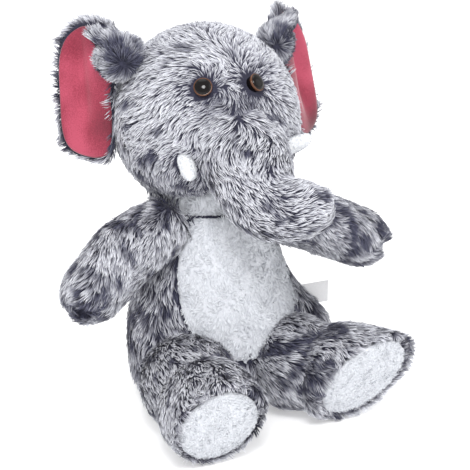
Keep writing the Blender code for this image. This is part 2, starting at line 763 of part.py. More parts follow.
# Tail
tail_profile = round_root(TAIL_ROOT_RADIUS, 0.8 * TAIL_RADIUS)
tail_profile += [
    (0.35 * TAIL_LENGTH, 0.8 * TAIL_RADIUS, 0.8 * TAIL_RADIUS),
    (0.65 * TAIL_LENGTH, 0.76 * TAIL_RADIUS, 0.76 * TAIL_RADIUS),
    (0.80 * TAIL_LENGTH, TAIL_RADIUS, TAIL_RADIUS),
]
tail_profile += tip(0.88 * TAIL_LENGTH, 0.12 * TAIL_LENGTH, 0.9 * TAIL_RADIUS, 0.9 * TAIL_RADIUS)
tail_line = straight(TAIL, TAIL_DIRECTION)
TUFT_START = TAIL + 0.72 * TAIL_LENGTH * TAIL_DIRECTION
tuft_keep = cutter("tuft_keep", half_space(TUFT_START + SEAM * TAIL_DIRECTION, TAIL_DIRECTION))
tuft_cut = cutter("tuft_cut", half_space(TUFT_START, TAIL_DIRECTION))
tail_parts = [
    part("tail_sleeve", lofted(tail_profile, tail_line, 10), TAIL, fur, [tuft_cut]),
    part("tail_tuft", lofted(tail_profile, tail_line, 10), TAIL, fur, [], [tuft_keep]),
]
attach(tail_parts, joints["tail_swing"])


def stand_on_origin():
    """Moves everything so that the middle of the underside of the bounding box is at the world origin."""
    bpy.context.view_layer.update()
    graph = bpy.context.evaluated_depsgraph_get()
    low = Vector((FAR, FAR, FAR))
    high = -low
    for obj in OBJECT.objects:
        if obj.type != "MESH":
            continue
        evaluated = obj.evaluated_get(graph)
        for corner in evaluated.bound_box:
            place = evaluated.matrix_world @ Vector(corner)
            low = Vector(map(min, low, place))
            high = Vector(map(max, high, place))
    shift = Vector((0.5 * (low.x + high.x), 0.5 * (low.y + high.y), low.z))
    for obj in bpy.data.objects:
        if not obj.parent:
            obj.location -= shift


stand_on_origin()
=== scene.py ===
"""The looks of the seated stuffed elephant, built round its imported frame.

Sizes are in millimetres in the row frame. Each body part is a smooth fabric skin that carries its own
pile: thousands of narrow tapered strands, dark at the root and silver at the tip. A strand's colour comes
only from its place in the UV map: across for how dark the strand is, up for how far along it a point lies.
"""

import json
import math

import bpy
import numpy as np
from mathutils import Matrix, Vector, kdtree


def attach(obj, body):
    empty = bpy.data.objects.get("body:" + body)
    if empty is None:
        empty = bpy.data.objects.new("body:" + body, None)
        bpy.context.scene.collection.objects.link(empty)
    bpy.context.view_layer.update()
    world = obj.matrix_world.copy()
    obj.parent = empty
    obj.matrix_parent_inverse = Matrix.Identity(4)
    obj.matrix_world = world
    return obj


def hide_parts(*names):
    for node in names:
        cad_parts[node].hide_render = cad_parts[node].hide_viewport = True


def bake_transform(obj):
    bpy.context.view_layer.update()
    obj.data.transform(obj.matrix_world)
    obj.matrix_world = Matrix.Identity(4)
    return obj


MM = 0.001
UV_NAME = "OFBake"

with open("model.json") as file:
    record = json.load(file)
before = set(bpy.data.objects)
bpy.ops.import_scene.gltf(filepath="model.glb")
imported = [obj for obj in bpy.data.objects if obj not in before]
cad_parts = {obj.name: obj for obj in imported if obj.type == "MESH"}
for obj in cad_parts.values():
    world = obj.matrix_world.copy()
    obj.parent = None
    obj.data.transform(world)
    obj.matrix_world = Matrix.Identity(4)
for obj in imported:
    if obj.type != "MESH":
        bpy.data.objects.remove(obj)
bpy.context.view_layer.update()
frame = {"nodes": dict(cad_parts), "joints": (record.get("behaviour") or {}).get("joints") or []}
pivots = {joint["name"]: np.array(joint["pos_m"]) / MM for joint in frame["joints"]}

UP = np.array([0.0, 0.0, 1.0])
NECK = pivots["head_turn"]
HEAD_ABOVE_NECK = 48.0
HEAD = NECK + HEAD_ABOVE_NECK * UP
TRUNK = pivots["trunk_lift"]
TORSO = NECK - np.array([0.0, 6.0, NECK[2]])

HEAD_RADIUS = 54.0
TORSO_HEIGHT = 126.0
TORSO_HALF_WIDTH = 53.5
TORSO_DEPTH = 0.9
TRUNK_LENGTH = 62.0
TRUNK_RADIUS = 26.0
ARM_LENGTH = 57.0
ARM_RADIUS = 20.0
LEG_LENGTHS = {"right": 58.0, "left": 50.0}
LEG_RADIUS = 30.0
EAR_WIDTH = 32.0
EAR_HEIGHT = 81.0
EAR_SWEEP = math.radians(44.0)
EAR_LEANS = {-1: 0.0, 1: 0.22}
EAR_LEAN_START = 0.22 * EAR_HEIGHT
TRUNK_FALL = math.radians(46.0)
CURL_UP = math.radians(47.0) / TRUNK_RADIUS
CURL_ASIDE = math.radians(29.4) / TRUNK_RADIUS
PILE_DEPTH = 3.0
FLOOR_CLEARANCE = 0.3
SIDES = ((-1, "right"), (1, "left"))


# ---------------------------------------------------------------- vectors and noise


def unit(vectors):
    vectors = np.asarray(vectors, float)
    return vectors / np.maximum(np.linalg.norm(vectors, axis=-1, keepdims=True), 1e-9)


def smooth_step(low, high, value):
    share = np.clip((value - low) / (high - low), 0.0, 1.0)
    return share * share * (3.0 - 2.0 * share)


def waves(points, scale, seed, count=12):
    """A smooth random field over the points, with a spread of about one."""
    rng = np.random.default_rng(seed)
    directions = unit(rng.normal(size=(count, 3)))
    lengths = math.tau / scale * rng.uniform(0.6, 1.5, count)
    phases = rng.uniform(0.0, math.tau, count)
    return np.sin(points @ (directions * lengths[:, None]).T + phases).sum(1) / math.sqrt(count / 2)


def bump(points, centre, reach):
    """One at the centre, falling to nothing over about twice the reach."""
    return np.exp(-((np.linalg.norm(points - centre, axis=-1) / reach) ** 2))


# ---------------------------------------------------------------- materials


def new_material(name, roughness, sheen=0.0):
    material = bpy.data.materials.new(name)
    material.use_nodes = True
    shader = material.node_tree.nodes["Principled BSDF"]
    shader.inputs["Roughness"].default_value = roughness
    shader.inputs["Sheen Weight"].default_value = sheen
    shader.inputs["Sheen Roughness"].default_value = 0.4
    return material, material.node_tree, shader


def color_ramp(tree, factor, stops):
    ramp = tree.nodes.new("ShaderNodeValToRGB")
    elements = ramp.color_ramp.elements
    while len(elements) < len(stops):
        elements.new(0.5)
    for element, (place, color) in zip(elements, stops):
        element.position = place
        element.color = (*color, 1.0)
    tree.links.new(factor, ramp.inputs["Fac"])
    return ramp.outputs["Color"]


def pile_material(name, light_stops, dark_stops, roughness=0.85, sheen=0.15):
    """Pile coloured along each strand by the light ramp, turning into the dark ramp across the UV map."""
    material, tree, shader = new_material(name, roughness, sheen)
    place = tree.nodes.new("ShaderNodeUVMap")
    place.uv_map = UV_NAME
    split = tree.nodes.new("ShaderNodeSeparateXYZ")
    tree.links.new(place.outputs["UV"], split.inputs["Vector"])
    mix = tree.nodes.new("ShaderNodeMix")
    mix.data_type = "RGBA"
    tree.links.new(split.outputs["X"], mix.inputs["Factor"])
    tree.links.new(color_ramp(tree, split.outputs["Y"], light_stops), mix.inputs["A"])
    tree.links.new(color_ramp(tree, split.outputs["Y"], dark_stops), mix.inputs["B"])
    tree.links.new(mix.outputs["Result"], shader.inputs["Base Color"])
    return material


def cloth_material(name, low, high, scale, roughness, depth=0.0, sheen=0.2):
    """Plain cloth with a fine mottle between two colours, and a shallow nap."""
    material, tree, shader = new_material(name, roughness, sheen)
    place = tree.nodes.new("ShaderNodeTexCoord")
    noise = tree.nodes.new("ShaderNodeTexNoise")
    noise.inputs["Scale"].default_value = scale
    noise.inputs["Detail"].default_value = 6.0
    noise.inputs["Roughness"].default_value = 0.65
    tree.links.new(place.outputs["Object"], noise.inputs["Vector"])
    color = color_ramp(tree, noise.outputs["Fac"], [(0.32, low), (0.68, high)])
    tree.links.new(color, shader.inputs["Base Color"])
    if depth:
        relief = tree.nodes.new("ShaderNodeBump")
        relief.inputs["Strength"].default_value = 0.6
        relief.inputs["Distance"].default_value = depth * MM
        tree.links.new(noise.outputs["Fac"], relief.inputs["Height"])
        tree.links.new(relief.outputs["Normal"], shader.inputs["Normal"])
    return material


def pink_plush():
    """Short shiny plush: a slow random change from deep to light pink, painted shade and light standing in
    for the shading of the lining's creases, under a fine grain.
    """
    material, tree, shader = new_material("pink_minky", 0.8, 0.35)
    place = tree.nodes.new("ShaderNodeTexCoord")
    shades = []
    for scale, detail in ((30.0, 1.0), (1500.0, 4.0)):
        noise = tree.nodes.new("ShaderNodeTexNoise")
        noise.inputs["Scale"].default_value = scale
        noise.inputs["Detail"].default_value = detail
        tree.links.new(place.outputs["Object"], noise.inputs["Vector"])
        shades.append(noise.outputs["Fac"])
    blend = tree.nodes.new("ShaderNodeMix")
    blend.inputs["Factor"].default_value = 0.3
    tree.links.new(shades[0], blend.inputs["A"])
    tree.links.new(shades[1], blend.inputs["B"])
    # Deep to light pink: the slow change is painted shade and light for the creases, and the fine grain is
    # the plush's own.
    stops = [(0.36, (0.12, 0.008, 0.022)), (0.50, (0.25, 0.021, 0.047)), (0.62, (0.42, 0.058, 0.105))]
    tree.links.new(color_ramp(tree, blend.outputs["Result"], stops), shader.inputs["Base Color"])
    relief = tree.nodes.new("ShaderNodeBump")
    relief.inputs["Strength"].default_value = 0.5
    relief.inputs["Distance"].default_value = 0.3 * MM
    tree.links.new(shades[1], relief.inputs["Height"])
    tree.links.new(relief.outputs["Normal"], shader.inputs["Normal"])
    return material


FROSTED = pile_material(
    "frosted_pile",
    [
        (0.0, (0.012, 0.012, 0.028)),
        (0.20, (0.06, 0.06, 0.09)),
        (0.42, (0.30, 0.30, 0.35)),
        (0.68, (0.62, 0.63, 0.68)),
        (1.0, (0.86, 0.87, 0.91)),
    ],
    [
        (0.0, (0.008, 0.008, 0.022)),
        (0.35, (0.016, 0.017, 0.040)),
        (0.65, (0.035, 0.036, 0.070)),
        (0.88, (0.065, 0.067, 0.115)),
        (1.0, (0.15, 0.15, 0.22)),
    ],
)
WHITE_PILE = pile_material(
    "white_pile",
    [(0.0, (0.52, 0.53, 0.56)), (0.5, (0.69, 0.71, 0.75)), (1.0, (0.75, 0.77, 0.81))],
    [(0.0, (0.44, 0.45, 0.49)), (0.5, (0.62, 0.64, 0.68)), (1.0, (0.70, 0.72, 0.76))],
)
UNDERFUR = cloth_material("underfur", (0.010, 0.010, 0.024), (0.03, 0.03, 0.055), 900, 0.95)
WHITE_CLOTH = cloth_material("white_cloth", (0.54, 0.55, 0.59), (0.68, 0.70, 0.74), 1100, 0.9)
PINK = pink_plush()
TUSK_CLOTH = cloth_material("tusk_felt", (0.74, 0.75, 0.76), (0.86, 0.87, 0.88), 900, 0.9, 0.4)
LABEL = cloth_material("label_satin", (0.84, 0.84, 0.85), (0.92, 0.92, 0.93), 1500, 0.6, 0.1)
EYE_BLACK, _, eye_shader = new_material("eye_black", 0.07)
eye_shader.inputs["Base Color"].default_value = (0.004, 0.003, 0.003, 1.0)
eye_shader.inputs["Specular IOR Level"].default_value = 0.24
EYE_BROWN, _, ring_shader = new_material("eye_brown", 0.18)
ring_shader.inputs["Base Color"].default_value = (0.085, 0.030, 0.010, 1.0)


# ---------------------------------------------------------------- meshes


def solid(name, points, faces, material):
    points = np.asarray(points)
    volume = 0.0
    for face in faces:
        a, b, c = points[face[0]], points[face[1]], points[face[2]]
        volume += a @ np.cross(b, c) + (a @ np.cross(c, points[face[3]]) if len(face) > 3 else 0.0)
    if volume < 0:
        faces = [face[::-1] for face in faces]
    mesh = bpy.data.meshes.new(name)
    mesh.from_pydata((points * MM).tolist(), [], faces)
    mesh.validate()
    mesh.update()
    mesh.materials.append(material)
    mesh.polygons.foreach_set("use_smooth", [True] * len(mesh.polygons))
    obj = bpy.data.objects.new(name, mesh)
    bpy.context.scene.collection.objects.link(obj)
    return obj


def ringed(name, rings, material):
    """A closed surface through rings of points, each end closed at the middle of its ring."""
    rings = np.asarray(rings, float)
    count, around = rings.shape[:2]
    points = np.concatenate([rings.reshape(-1, 3), [rings[0].mean(0), rings[-1].mean(0)]])
    faces = []
    for ring in range(count - 1):
        for turn in range(around):
            other = (turn + 1) % around
            here, above = ring * around, (ring + 1) * around
            faces.append((here + turn, here + other, above + other, above + turn))
    first, last = count * around, count * around + 1
    for turn in range(around):
        other = (turn + 1) % around
        faces.append((first, other, turn))
        faces.append((last, (count - 1) * around + turn, (count - 1) * around + other))
    return solid(name, points, faces, material)


def fused(name, objects, voxel, rounds, material):
    """The objects as one skin, with the creases between them eased."""
    bpy.ops.object.select_all(action="DESELECT")
    for obj in objects:
        obj.select_set(True)
    bpy.context.view_layer.objects.active = objects[0]
    bpy.ops.object.join()
    joined = objects[0]
    remesh = joined.modifiers.new("fuse", "REMESH")
    remesh.mode = "VOXEL"
    remesh.voxel_size = voxel * MM
    ease = joined.modifiers.new("ease", "SMOOTH")
    ease.factor = 0.5
    ease.iterations = rounds
    graph = bpy.context.evaluated_depsgraph_get()
    mesh = bpy.data.meshes.new_from_object(joined.evaluated_get(graph))
    mesh.name = name
    mesh.materials.clear()
    mesh.materials.append(material)
    mesh.polygons.foreach_set("use_smooth", [True] * len(mesh.polygons))
    bpy.data.objects.remove(joined)
    obj = bpy.data.objects.new(name, mesh)
    bpy.context.scene.collection.objects.link(obj)
    return obj


def scatter(obj, count, seed):
    """Points spread evenly over the object's surface, in millimetres, with the normals there."""
    mesh = obj.data
    mesh.calc_loop_triangles()
    points = np.empty(len(mesh.vertices) * 3)
    mesh.vertices.foreach_get("co", points)
    points = points.reshape(-1, 3) / MM
    normals = np.empty(len(mesh.vertices) * 3, np.float32)
    mesh.vertex_normals.foreach_get("vector", normals)
    normals = normals.reshape(-1, 3)
    corners = np.empty(len(mesh.loop_triangles) * 3, np.int32)
    mesh.loop_triangles.foreach_get("vertices", corners)
    corners = corners.reshape(-1, 3)
    a, b, c = points[corners[:, 0]], points[corners[:, 1]], points[corners[:, 2]]
    area = np.linalg.norm(np.cross(b - a, c - a), axis=1)
    rng = np.random.default_rng(seed)
    shares = np.cumsum(area) / area.sum()
    picks = np.searchsorted(shares, (np.arange(count) + rng.uniform(0, 1, count)) / count)
    picks = np.minimum(picks, len(corners) - 1)
    u, v = rng.uniform(0, 1, count), rng.uniform(0, 1, count)
    flip = u + v > 1
    u[flip], v[flip] = 1 - u[flip], 1 - v[flip]
    weights = np.stack([1 - u - v, u, v], axis=1)[:, :, None]
    chosen = corners[picks]
    return (points[chosen] * weights).sum(1), unit((normals[chosen] * weights).sum(1))


def gathered(points, tips, spacing, pull, seed):
    """Moves each tip towards the tip of the nearest lock, so that strands close together make a lock."""
    rng = np.random.default_rng(seed)
    order = rng.permutation(len(points))[: max(8, int(len(points) / spacing))]
    tree = kdtree.KDTree(len(order))
    for index in order:
        tree.insert(points[index], int(index))
    tree.balance()
    nearest = np.array([tree.find(point)[1] for point in points])
    shift = (tips[nearest] - tips) * pull[:, None]
    return tips + shift, nearest


def pile(name, roots, normals, comb, material, length, lift, tone, width, lock, pull, seed):
    """Strands as narrow tapered ribbons.

    Comb is the way that they lie, lift goes from 0, flat, to 1, upright, and tone from 0, light, to 1, dark.
    About one strand in every lock leads, and the others' tips are pulled towards its tip.
    """
    rng = np.random.default_rng(seed)
    count = len(roots)
    comb = unit(comb - (comb * normals).sum(1, keepdims=True) * normals)
    length = np.broadcast_to(length, count) * rng.uniform(0.78, 1.15, count)
    lift = np.clip(np.broadcast_to(lift, count) + rng.normal(0, 0.08, count), 0.08, 0.95)
    lay = np.sqrt(1.0 - lift**2)
    sway = unit(np.cross(normals, comb)) * rng.normal(0, 0.16, count)[:, None]
    tips = roots + length[:, None] * (
        normals * (0.62 * lift)[:, None] + comb * lay[:, None] + sway
    )
    pulls = pull * rng.uniform(0.5, 1.2, count)
    tips, nearest = gathered(roots, tips, lock, pulls, seed + 7)
    shares = np.array([0.0, 0.38, 0.72, 1.0])
    rise = normals * (length * lift * 0.42)[:, None]
    line = roots[:, None] + (tips - roots)[:, None] * shares[None, :, None] ** 1.12
    line += rise[:, None] * (4 * shares * (1 - shares))[None, :, None] * 0.5
    line[:, 0] -= normals * 0.8
    line[:, :, 2] = np.maximum(line[:, :, 2], FLOOR_CLEARANCE)
    along = unit(line[:, 2] - line[:, 0])
    across = unit(np.cross(along, normals))
    facing = np.cross(across, along)
    roll = rng.normal(0, 0.55, count)[:, None]
    across = unit(across * np.cos(roll) + facing * np.sin(roll))
    half = 0.5 * width * rng.uniform(0.75, 1.25, count)[:, None]
    rows = []
    for step, taper in ((0, 1.0), (1, 0.95), (2, 0.68)):
        rows += [line[:, step] - across * half * taper, line[:, step] + across * half * taper]
    rows.append(line[:, 3])
    points = np.stack(rows, axis=1).reshape(-1, 3) * MM
    first = np.arange(count)[:, None] * 7
    loops = (first + np.array([0, 1, 3, 2, 2, 3, 5, 4, 4, 5, 6])).ravel()
    sizes = np.tile([4, 4, 3], count)
    starts = np.concatenate([[0], np.cumsum(sizes)[:-1]])
    mesh = bpy.data.meshes.new(name)
    mesh.vertices.add(len(points))
    mesh.vertices.foreach_set("co", points.astype(np.float32).ravel())
    mesh.loops.add(len(loops))
    mesh.loops.foreach_set("vertex_index", loops.astype(np.int32))
    mesh.polygons.add(len(sizes))
    mesh.polygons.foreach_set("loop_start", starts.astype(np.int32))
    mesh.update(calc_edges=True)
    tone = np.clip(tone + rng.normal(0, 0.07, count) + 0.07 * np.sin(nearest * 12.9), 0.02, 0.98)
    up = np.array([0, 0, 1, 1, 2, 2, 3])
    heights = 0.02 + 0.96 * shares[up]
    uv = np.stack([np.repeat(tone, 7), np.tile(heights, count)], axis=1)
    layer = mesh.uv_layers.new(name=UV_NAME)
    layer.data.foreach_set("uv", uv[loops].astype(np.float32).ravel())
    mesh.materials.append(material)
    obj = bpy.data.objects.new(name, mesh)
    bpy.context.scene.collection.objects.link(obj)
    return obj


# ---------------------------------------------------------------- shapes of the parts


def mirrored(vector, side):
    return np.array([side * vector[0], vector[1], vector[2]])


def limb_frame(direction):
    across = unit(np.cross(direction, UP))
    return across, np.cross(across, direction)


def profile(stations, values, places):
    """A smooth curve through the values at the stations."""
    places = np.asarray(places, float)
    stations, values = np.asarray(stations, float), np.asarray(values, float)
    slopes = np.gradient(values, stations)
    index = np.clip(np.searchsorted(stations, places) - 1, 0, len(stations) - 2)
    span = stations[index + 1] - stations[index]
    t = np.clip((places - stations[index]) / span, 0.0, 1.0)
    a, b = values[index], values[index + 1]
    first, second = slopes[index] * span, slopes[index + 1] * span
    return (
        (2 * t**3 - 3 * t**2 + 1) * a
        + (t**3 - 2 * t**2 + t) * first
        + (-2 * t**3 + 3 * t**2) * b
        + (t**3 - t**2) * second
    )


# Shares of the torso's height, and the radius there as a share of its half width
TORSO_Z = [0.0, 0.04, 0.12, 0.24, 0.36, 0.50, 0.65, 0.79, 0.90, 1.0]
TORSO_R = [0.66, 0.82, 0.94, 0.99, 1.0, 0.965, 0.89, 0.80, 0.72, 0.60]
HIP_SWELL = 24.0
HIP_HEIGHT = 41.0
HIP_TURN = -0.28


def torso_radius(height):
    return profile(TORSO_Z, TORSO_R, height / TORSO_HEIGHT) * TORSO_HALF_WIDTH


def torso_surface(height, angle, inset=PILE_DEPTH):
    """A point of the torso. Angle 0 is the elephant's left and 90 degrees its back."""
    radius = torso_radius(height) - inset
    belly = 1.5 * np.exp(-(((height - 48.0) / 30.0) ** 2)) * np.clip(-np.sin(angle), 0, 1) ** 2
    turn = (np.asarray(angle) + math.pi) % math.tau - math.pi
    radius = radius + HIP_SWELL * np.exp(
        -(((height - HIP_HEIGHT) / 25.0) ** 2) - ((turn - HIP_TURN) / 0.42) ** 2
    )
    x = radius * np.cos(angle)
    y = (radius * TORSO_DEPTH + belly) * np.sin(angle)
    return np.stack([x + TORSO[0], y + TORSO[1], np.broadcast_to(height, x.shape)], axis=-1)


def inside_torso(points, inset=6.0):
    height = np.clip(points[:, 2], 0, TORSO_HEIGHT)
    radius = torso_radius(height) - inset
    across = (points[:, 0] - TORSO[0]) / radius
    deep = (points[:, 1] - TORSO[1]) / (radius * TORSO_DEPTH)
    return (across**2 + deep**2 < 1.0) & (points[:, 2] < TORSO_HEIGHT - 2.0)


turns = np.arange(64) / 64 * math.tau
heights = TORSO_HEIGHT * (1 - np.cos(np.linspace(0.0, math.pi, 34))) / 2
torso_rings = [torso_surface(np.full(64, max(h, 0.8)), turns) for h in heights]
torso_skin = ringed("torso_skin", torso_rings, UNDERFUR)

BELLY_WIDE = 37.5
BELLY_HIGH = 49.0
BELLY_Z = 89.5
BELLY_ASIDE = 5.0
BELLY_TAPER = 0.12
BELLY_SQUARENESS = 2.2


def belly_share(points):
    """How far out a point of the torso's front lies in the white patch: 1 is on its edge."""
    across = (points[:, 0] - TORSO[0] - BELLY_ASIDE) / BELLY_WIDE
    up = (points[:, 2] - BELLY_Z) / BELLY_HIGH
    wide = np.abs(across * (1.0 + BELLY_TAPER * up))
    share = np.sqrt(wide**BELLY_SQUARENESS + np.abs(up) ** BELLY_SQUARENESS)
    return np.where(points[:, 1] < TORSO[1], share, 9.0)


def head_ball():
    """The head's ball, with cheeks, eye hollows, a flattened chin and a raised bridge."""
    tilt = np.linspace(0.001, math.pi - 0.001, 56)
    rings = []
    for angle in tilt:
        around = np.arange(84) / 84 * math.tau
        way = np.stack(
            [
                np.sin(angle) * np.cos(around),
                np.sin(angle) * np.sin(around),
                np.full(84, np.cos(angle)),
            ],
            axis=-1,
        )
        radius = np.full(84, HEAD_RADIUS)
        for side in (-1, 1):
            cheek = unit([side * 0.60, -0.66, -0.42])
            radius += 2.2 * np.exp((way @ cheek - 1) / 0.10)
            hollow = unit([side * 0.30, -0.79, 0.50])
            radius -= 1.6 * np.exp((way @ hollow - 1) / 0.02)
        chin = unit([-0.15, -0.50, -0.85])
        radius -= 6.5 * np.exp((way @ chin - 1) / 0.12)
        bridge = unit([0.0, -0.95, 0.10])
        radius += 2.5 * np.exp((way @ bridge - 1) / 0.07)
        rings.append(HEAD + way * radius[:, None])
    return ringed("head_ball", rings, UNDERFUR)


def trunk_path(distances):
    """Centres and frames along the trunk: down and forwards, then curling up and to its left."""
    steps = 120
    step = 1.6 * TRUNK_LENGTH / steps
    travelled = np.arange(steps + 1) * step
    rise = CURL_UP * np.maximum(travelled - 0.28 * TRUNK_LENGTH, 0.0) - TRUNK_FALL
    aside = CURL_ASIDE * np.maximum(travelled - 0.25 * TRUNK_LENGTH, 0.0)
    ways = np.stack(
        [np.sin(aside) * np.cos(rise), -np.cos(aside) * np.cos(rise), np.sin(rise)], axis=1
    )
    places = TRUNK + np.concatenate([[np.zeros(3)], np.cumsum(ways * step, axis=0)])
    index = np.clip(np.asarray(distances) / step, 0, steps).astype(int)
    extra = np.asarray(distances) - index * step
    centres = places[index] + extra[:, None] * ways[index]
    across = unit(np.cross(ways[index], UP))
    return centres, across, np.cross(across, ways[index]), ways[index]


def trunk_tube():
    tip = TRUNK_LENGTH + np.array([3, 6, 9, 11, 12.4])
    stations = np.concatenate([np.linspace(-16, TRUNK_LENGTH, 40), tip])
    share = stations / TRUNK_LENGTH
    width = profile(
        [-0.3, 0.0, 0.3, 0.5, 0.7, 0.85, 1.0, 1.09, 1.19],
        [0.95, 1.06, 0.98, 0.95, 0.88, 0.82, 0.75, 0.58, 0.06],
        share,
    )
    centres, across, above, _ = trunk_path(stations)
    around = np.arange(40) / 40 * math.tau
    rings = []
    for index in range(len(stations)):
        wide = max(width[index] * TRUNK_RADIUS - PILE_DEPTH * min(width[index] * 2, 1), 0.4)
        tall = 0.9 * wide
        rings.append(
            centres[index]
            + wide * np.cos(around)[:, None] * across[index]
            + tall * np.sin(around)[:, None] * above[index]
        )
    return ringed("trunk_tube", rings, UNDERFUR)


head_skin = fused("head_skin", [head_ball(), trunk_tube()], 1.7, 14, UNDERFUR)
trunk_way = trunk_path(np.array([0.0]))[3][0]


def limb_rings(place, direction, stations, widths, heights, around):
    across, above = limb_frame(direction)
    rings = []
    for distance, wide, tall in zip(stations, widths, heights):
        ring = (
            place
            + distance * direction
            + wide * np.cos(around)[:, None] * across
            + tall * np.sin(around)[:, None] * above
        )
        rings.append(ring)
    return np.array(rings)


# Arms
ARM_WAYS = {"right": unit([-0.844, -0.219, -0.489]), "left": unit([0.902, -0.235, -0.361])}
ARM_BOWS = {"right": 6.0, "left": 1.5}
arm_skins = {}
for _, word in SIDES:
    place = pivots[f"arm_{word}_swing"]
    direction = ARM_WAYS[word]
    around = np.arange(40) / 40 * math.tau
    tip = ARM_LENGTH + np.array([4, 8, 11, 13, 14.2])
    stations = np.concatenate([np.linspace(-12, ARM_LENGTH, 30), tip])
    share = stations / ARM_LENGTH
    width = profile(
        [-0.25, 0.0, 0.3, 0.52, 0.76, 1.0, 1.12, 1.21, 1.265],
        [0.80, 1.0, 1.03, 1.04, 1.03, 0.97, 0.80, 0.50, 0.05],
        share,
    )
    widths = np.maximum(width * ARM_RADIUS - PILE_DEPTH * np.minimum(width * 2, 1), 0.4)
    rings = limb_rings(place, direction, stations, widths, 0.93 * widths, around)
    _, above = limb_frame(direction)
    bow = ARM_BOWS[word] * np.exp(-(((share - 0.42) / 0.36) ** 2))
    rings += bow[:, None, None] * 0.45 * above
    rings += (bow[:, None] * 0.55 * np.clip(np.sin(around), 0, 1) ** 0.7)[..., None] * above
    # A pulled stitch parts the hand's end into two soft fingers.
    for ring, distance in zip(rings, stations):
        depth = 4.5 * smooth_step(0.86, 1.2, distance / ARM_LENGTH)
        off = (ring - place) @ above
        pinch = depth * np.exp(-((off / 3.2) ** 2))
        ring -= pinch[:, None] * direction
        ring += (0.35 * depth * np.sign(off) * np.exp(-((off / 7.0) ** 2)))[:, None] * above
    arm_skins[word] = ringed(f"arm_{word}_skin", rings, UNDERFUR)

# Legs and soles
LEG_WAYS = {"right": unit([-0.09, -1.0, 0.0]), "left": unit([0.62, -0.78, 0.0])}
SOLE_WAYS = {"right": unit([0.0, -0.93, -0.37]), "left": unit([0.12, -0.93, -0.33])}
SOLE_DROPS = {"right": 3.0, "left": 0.5}
leg_skins, soles = {}, {}
for _, word in SIDES:
    place = pivots[f"leg_{word}_lift"]
    direction = LEG_WAYS[word]
    facing = SOLE_WAYS[word]
    across, above = limb_frame(direction)
    around = np.arange(48) / 48 * math.tau
    wave = np.stack([np.cos(around), np.sin(around)], axis=1)
    # Past this share of the length, the sections turn until the last one is the sole's edge.
    turning = 0.42
    length = LEG_LENGTHS[word]
    rings = []
    shares = np.concatenate([np.linspace(-0.25, turning, 16), np.linspace(turning, 1.0, 18)[1:]])
    for share in shares:
        width, height = (
            profile([-0.28, 0.0, 0.28, 0.42, 0.58, 0.8, 1.0], values, [share])[0]
            for values in (
                [0.80, 1.0, 0.97, 0.91, 1.0, 1.03, 1.0],
                [0.80, 1.0, 0.98, 0.93, 1.02, 1.05, 1.03],
            )
        )
        wide = width * LEG_RADIUS - PILE_DEPTH
        tall = height * LEG_RADIUS - PILE_DEPTH
        section = wide * wave[:, :1] * across + tall * wave[:, 1:] * above
        ending = length - (section @ facing) / (direction @ facing)
        past = max(share - turning, 0.0) / (1.0 - turning)
        distance = share * length + past * (ending - length)
        rings.append(place + distance[:, None] * direction + section)
    rings = np.array(rings)
    middle = place + length * direction
    edge = rings[-1]
    cap = [middle + (edge - middle) * part for part in (0.97, 0.9)]
    skin_rings = np.concatenate([rings, [ring - 1.5 * facing for ring in cap]])
    skin_rings[:, :, 2] = np.maximum(skin_rings[:, :, 2], 1.6)
    leg_skins[word] = ringed(f"leg_{word}_skin", skin_rings, UNDERFUR)
    sole_rings = []
    sunk = unit(np.cross(np.cross(facing, UP), facing)) * SOLE_DROPS[word]
    for part in (0.82, 0.855, 0.86, 0.83, 0.76, 0.64, 0.5, 0.3, 0.12):
        crown = 2.4 * (1.0 - part**4) if len(sole_rings) > 1 else -2.0 + 1.6 * len(sole_rings)
        sole_rings.append(middle - sunk + (edge - middle) * part + crown * facing)
    sole_rings = np.array(sole_rings)
    sole_rings[:, :, 2] = np.maximum(sole_rings[:, :, 2], 0.9)
    soles[word] = ringed(f"foot_{word}_sole_pad", sole_rings, WHITE_CLOTH)


# Ears
EAR_OUTLINE = np.array(
    [
        (0.0, -0.22),
        (0.10, -0.31),
        (0.42, -0.335),
        (0.80, -0.28),
        (0.96, -0.14),
        (0.985, 0.15),
        (0.97, 0.42),
        (0.84, 0.585),
        (0.58, 0.67),
        (0.22, 0.68),
        (-0.08, 0.62),
        (-0.22, 0.50),
        (-0.16, 0.36),
        (-0.02, 0.20),
        (-0.04, -0.02),
    ]
)


def closed_curve(points, count):
    """A smooth closed curve through the points."""
    points = np.asarray(points, float)
    total = len(points)
    places = np.arange(count) / count * total
    index = places.astype(int)
    t = (places - index)[:, None]
    a, b, c, d = (points[(index + k) % total] for k in (-1, 0, 1, 2))
    return 0.5 * (
        2 * b + (c - a) * t + (2 * a - 5 * b + 4 * c - d) * t**2 + (3 * b - a - 3 * c + d) * t**3
    )


def ear_bend(flat):
    """How far the ear's middle lies behind its flat plane: dished at its rim, with a soft crease."""
    across, up = flat[..., 0] / EAR_WIDTH, flat[..., 1] / EAR_HEIGHT
    dish = 2.5 - 7.0 * np.clip(across - 0.25, 0, 2) ** 2
    crease = 4.5 * np.exp(-(((across - 0.56 - 0.12 * up) / 0.17) ** 2))
    crease = crease * smooth_step(-0.3, 0.1, up)
    return dish + crease


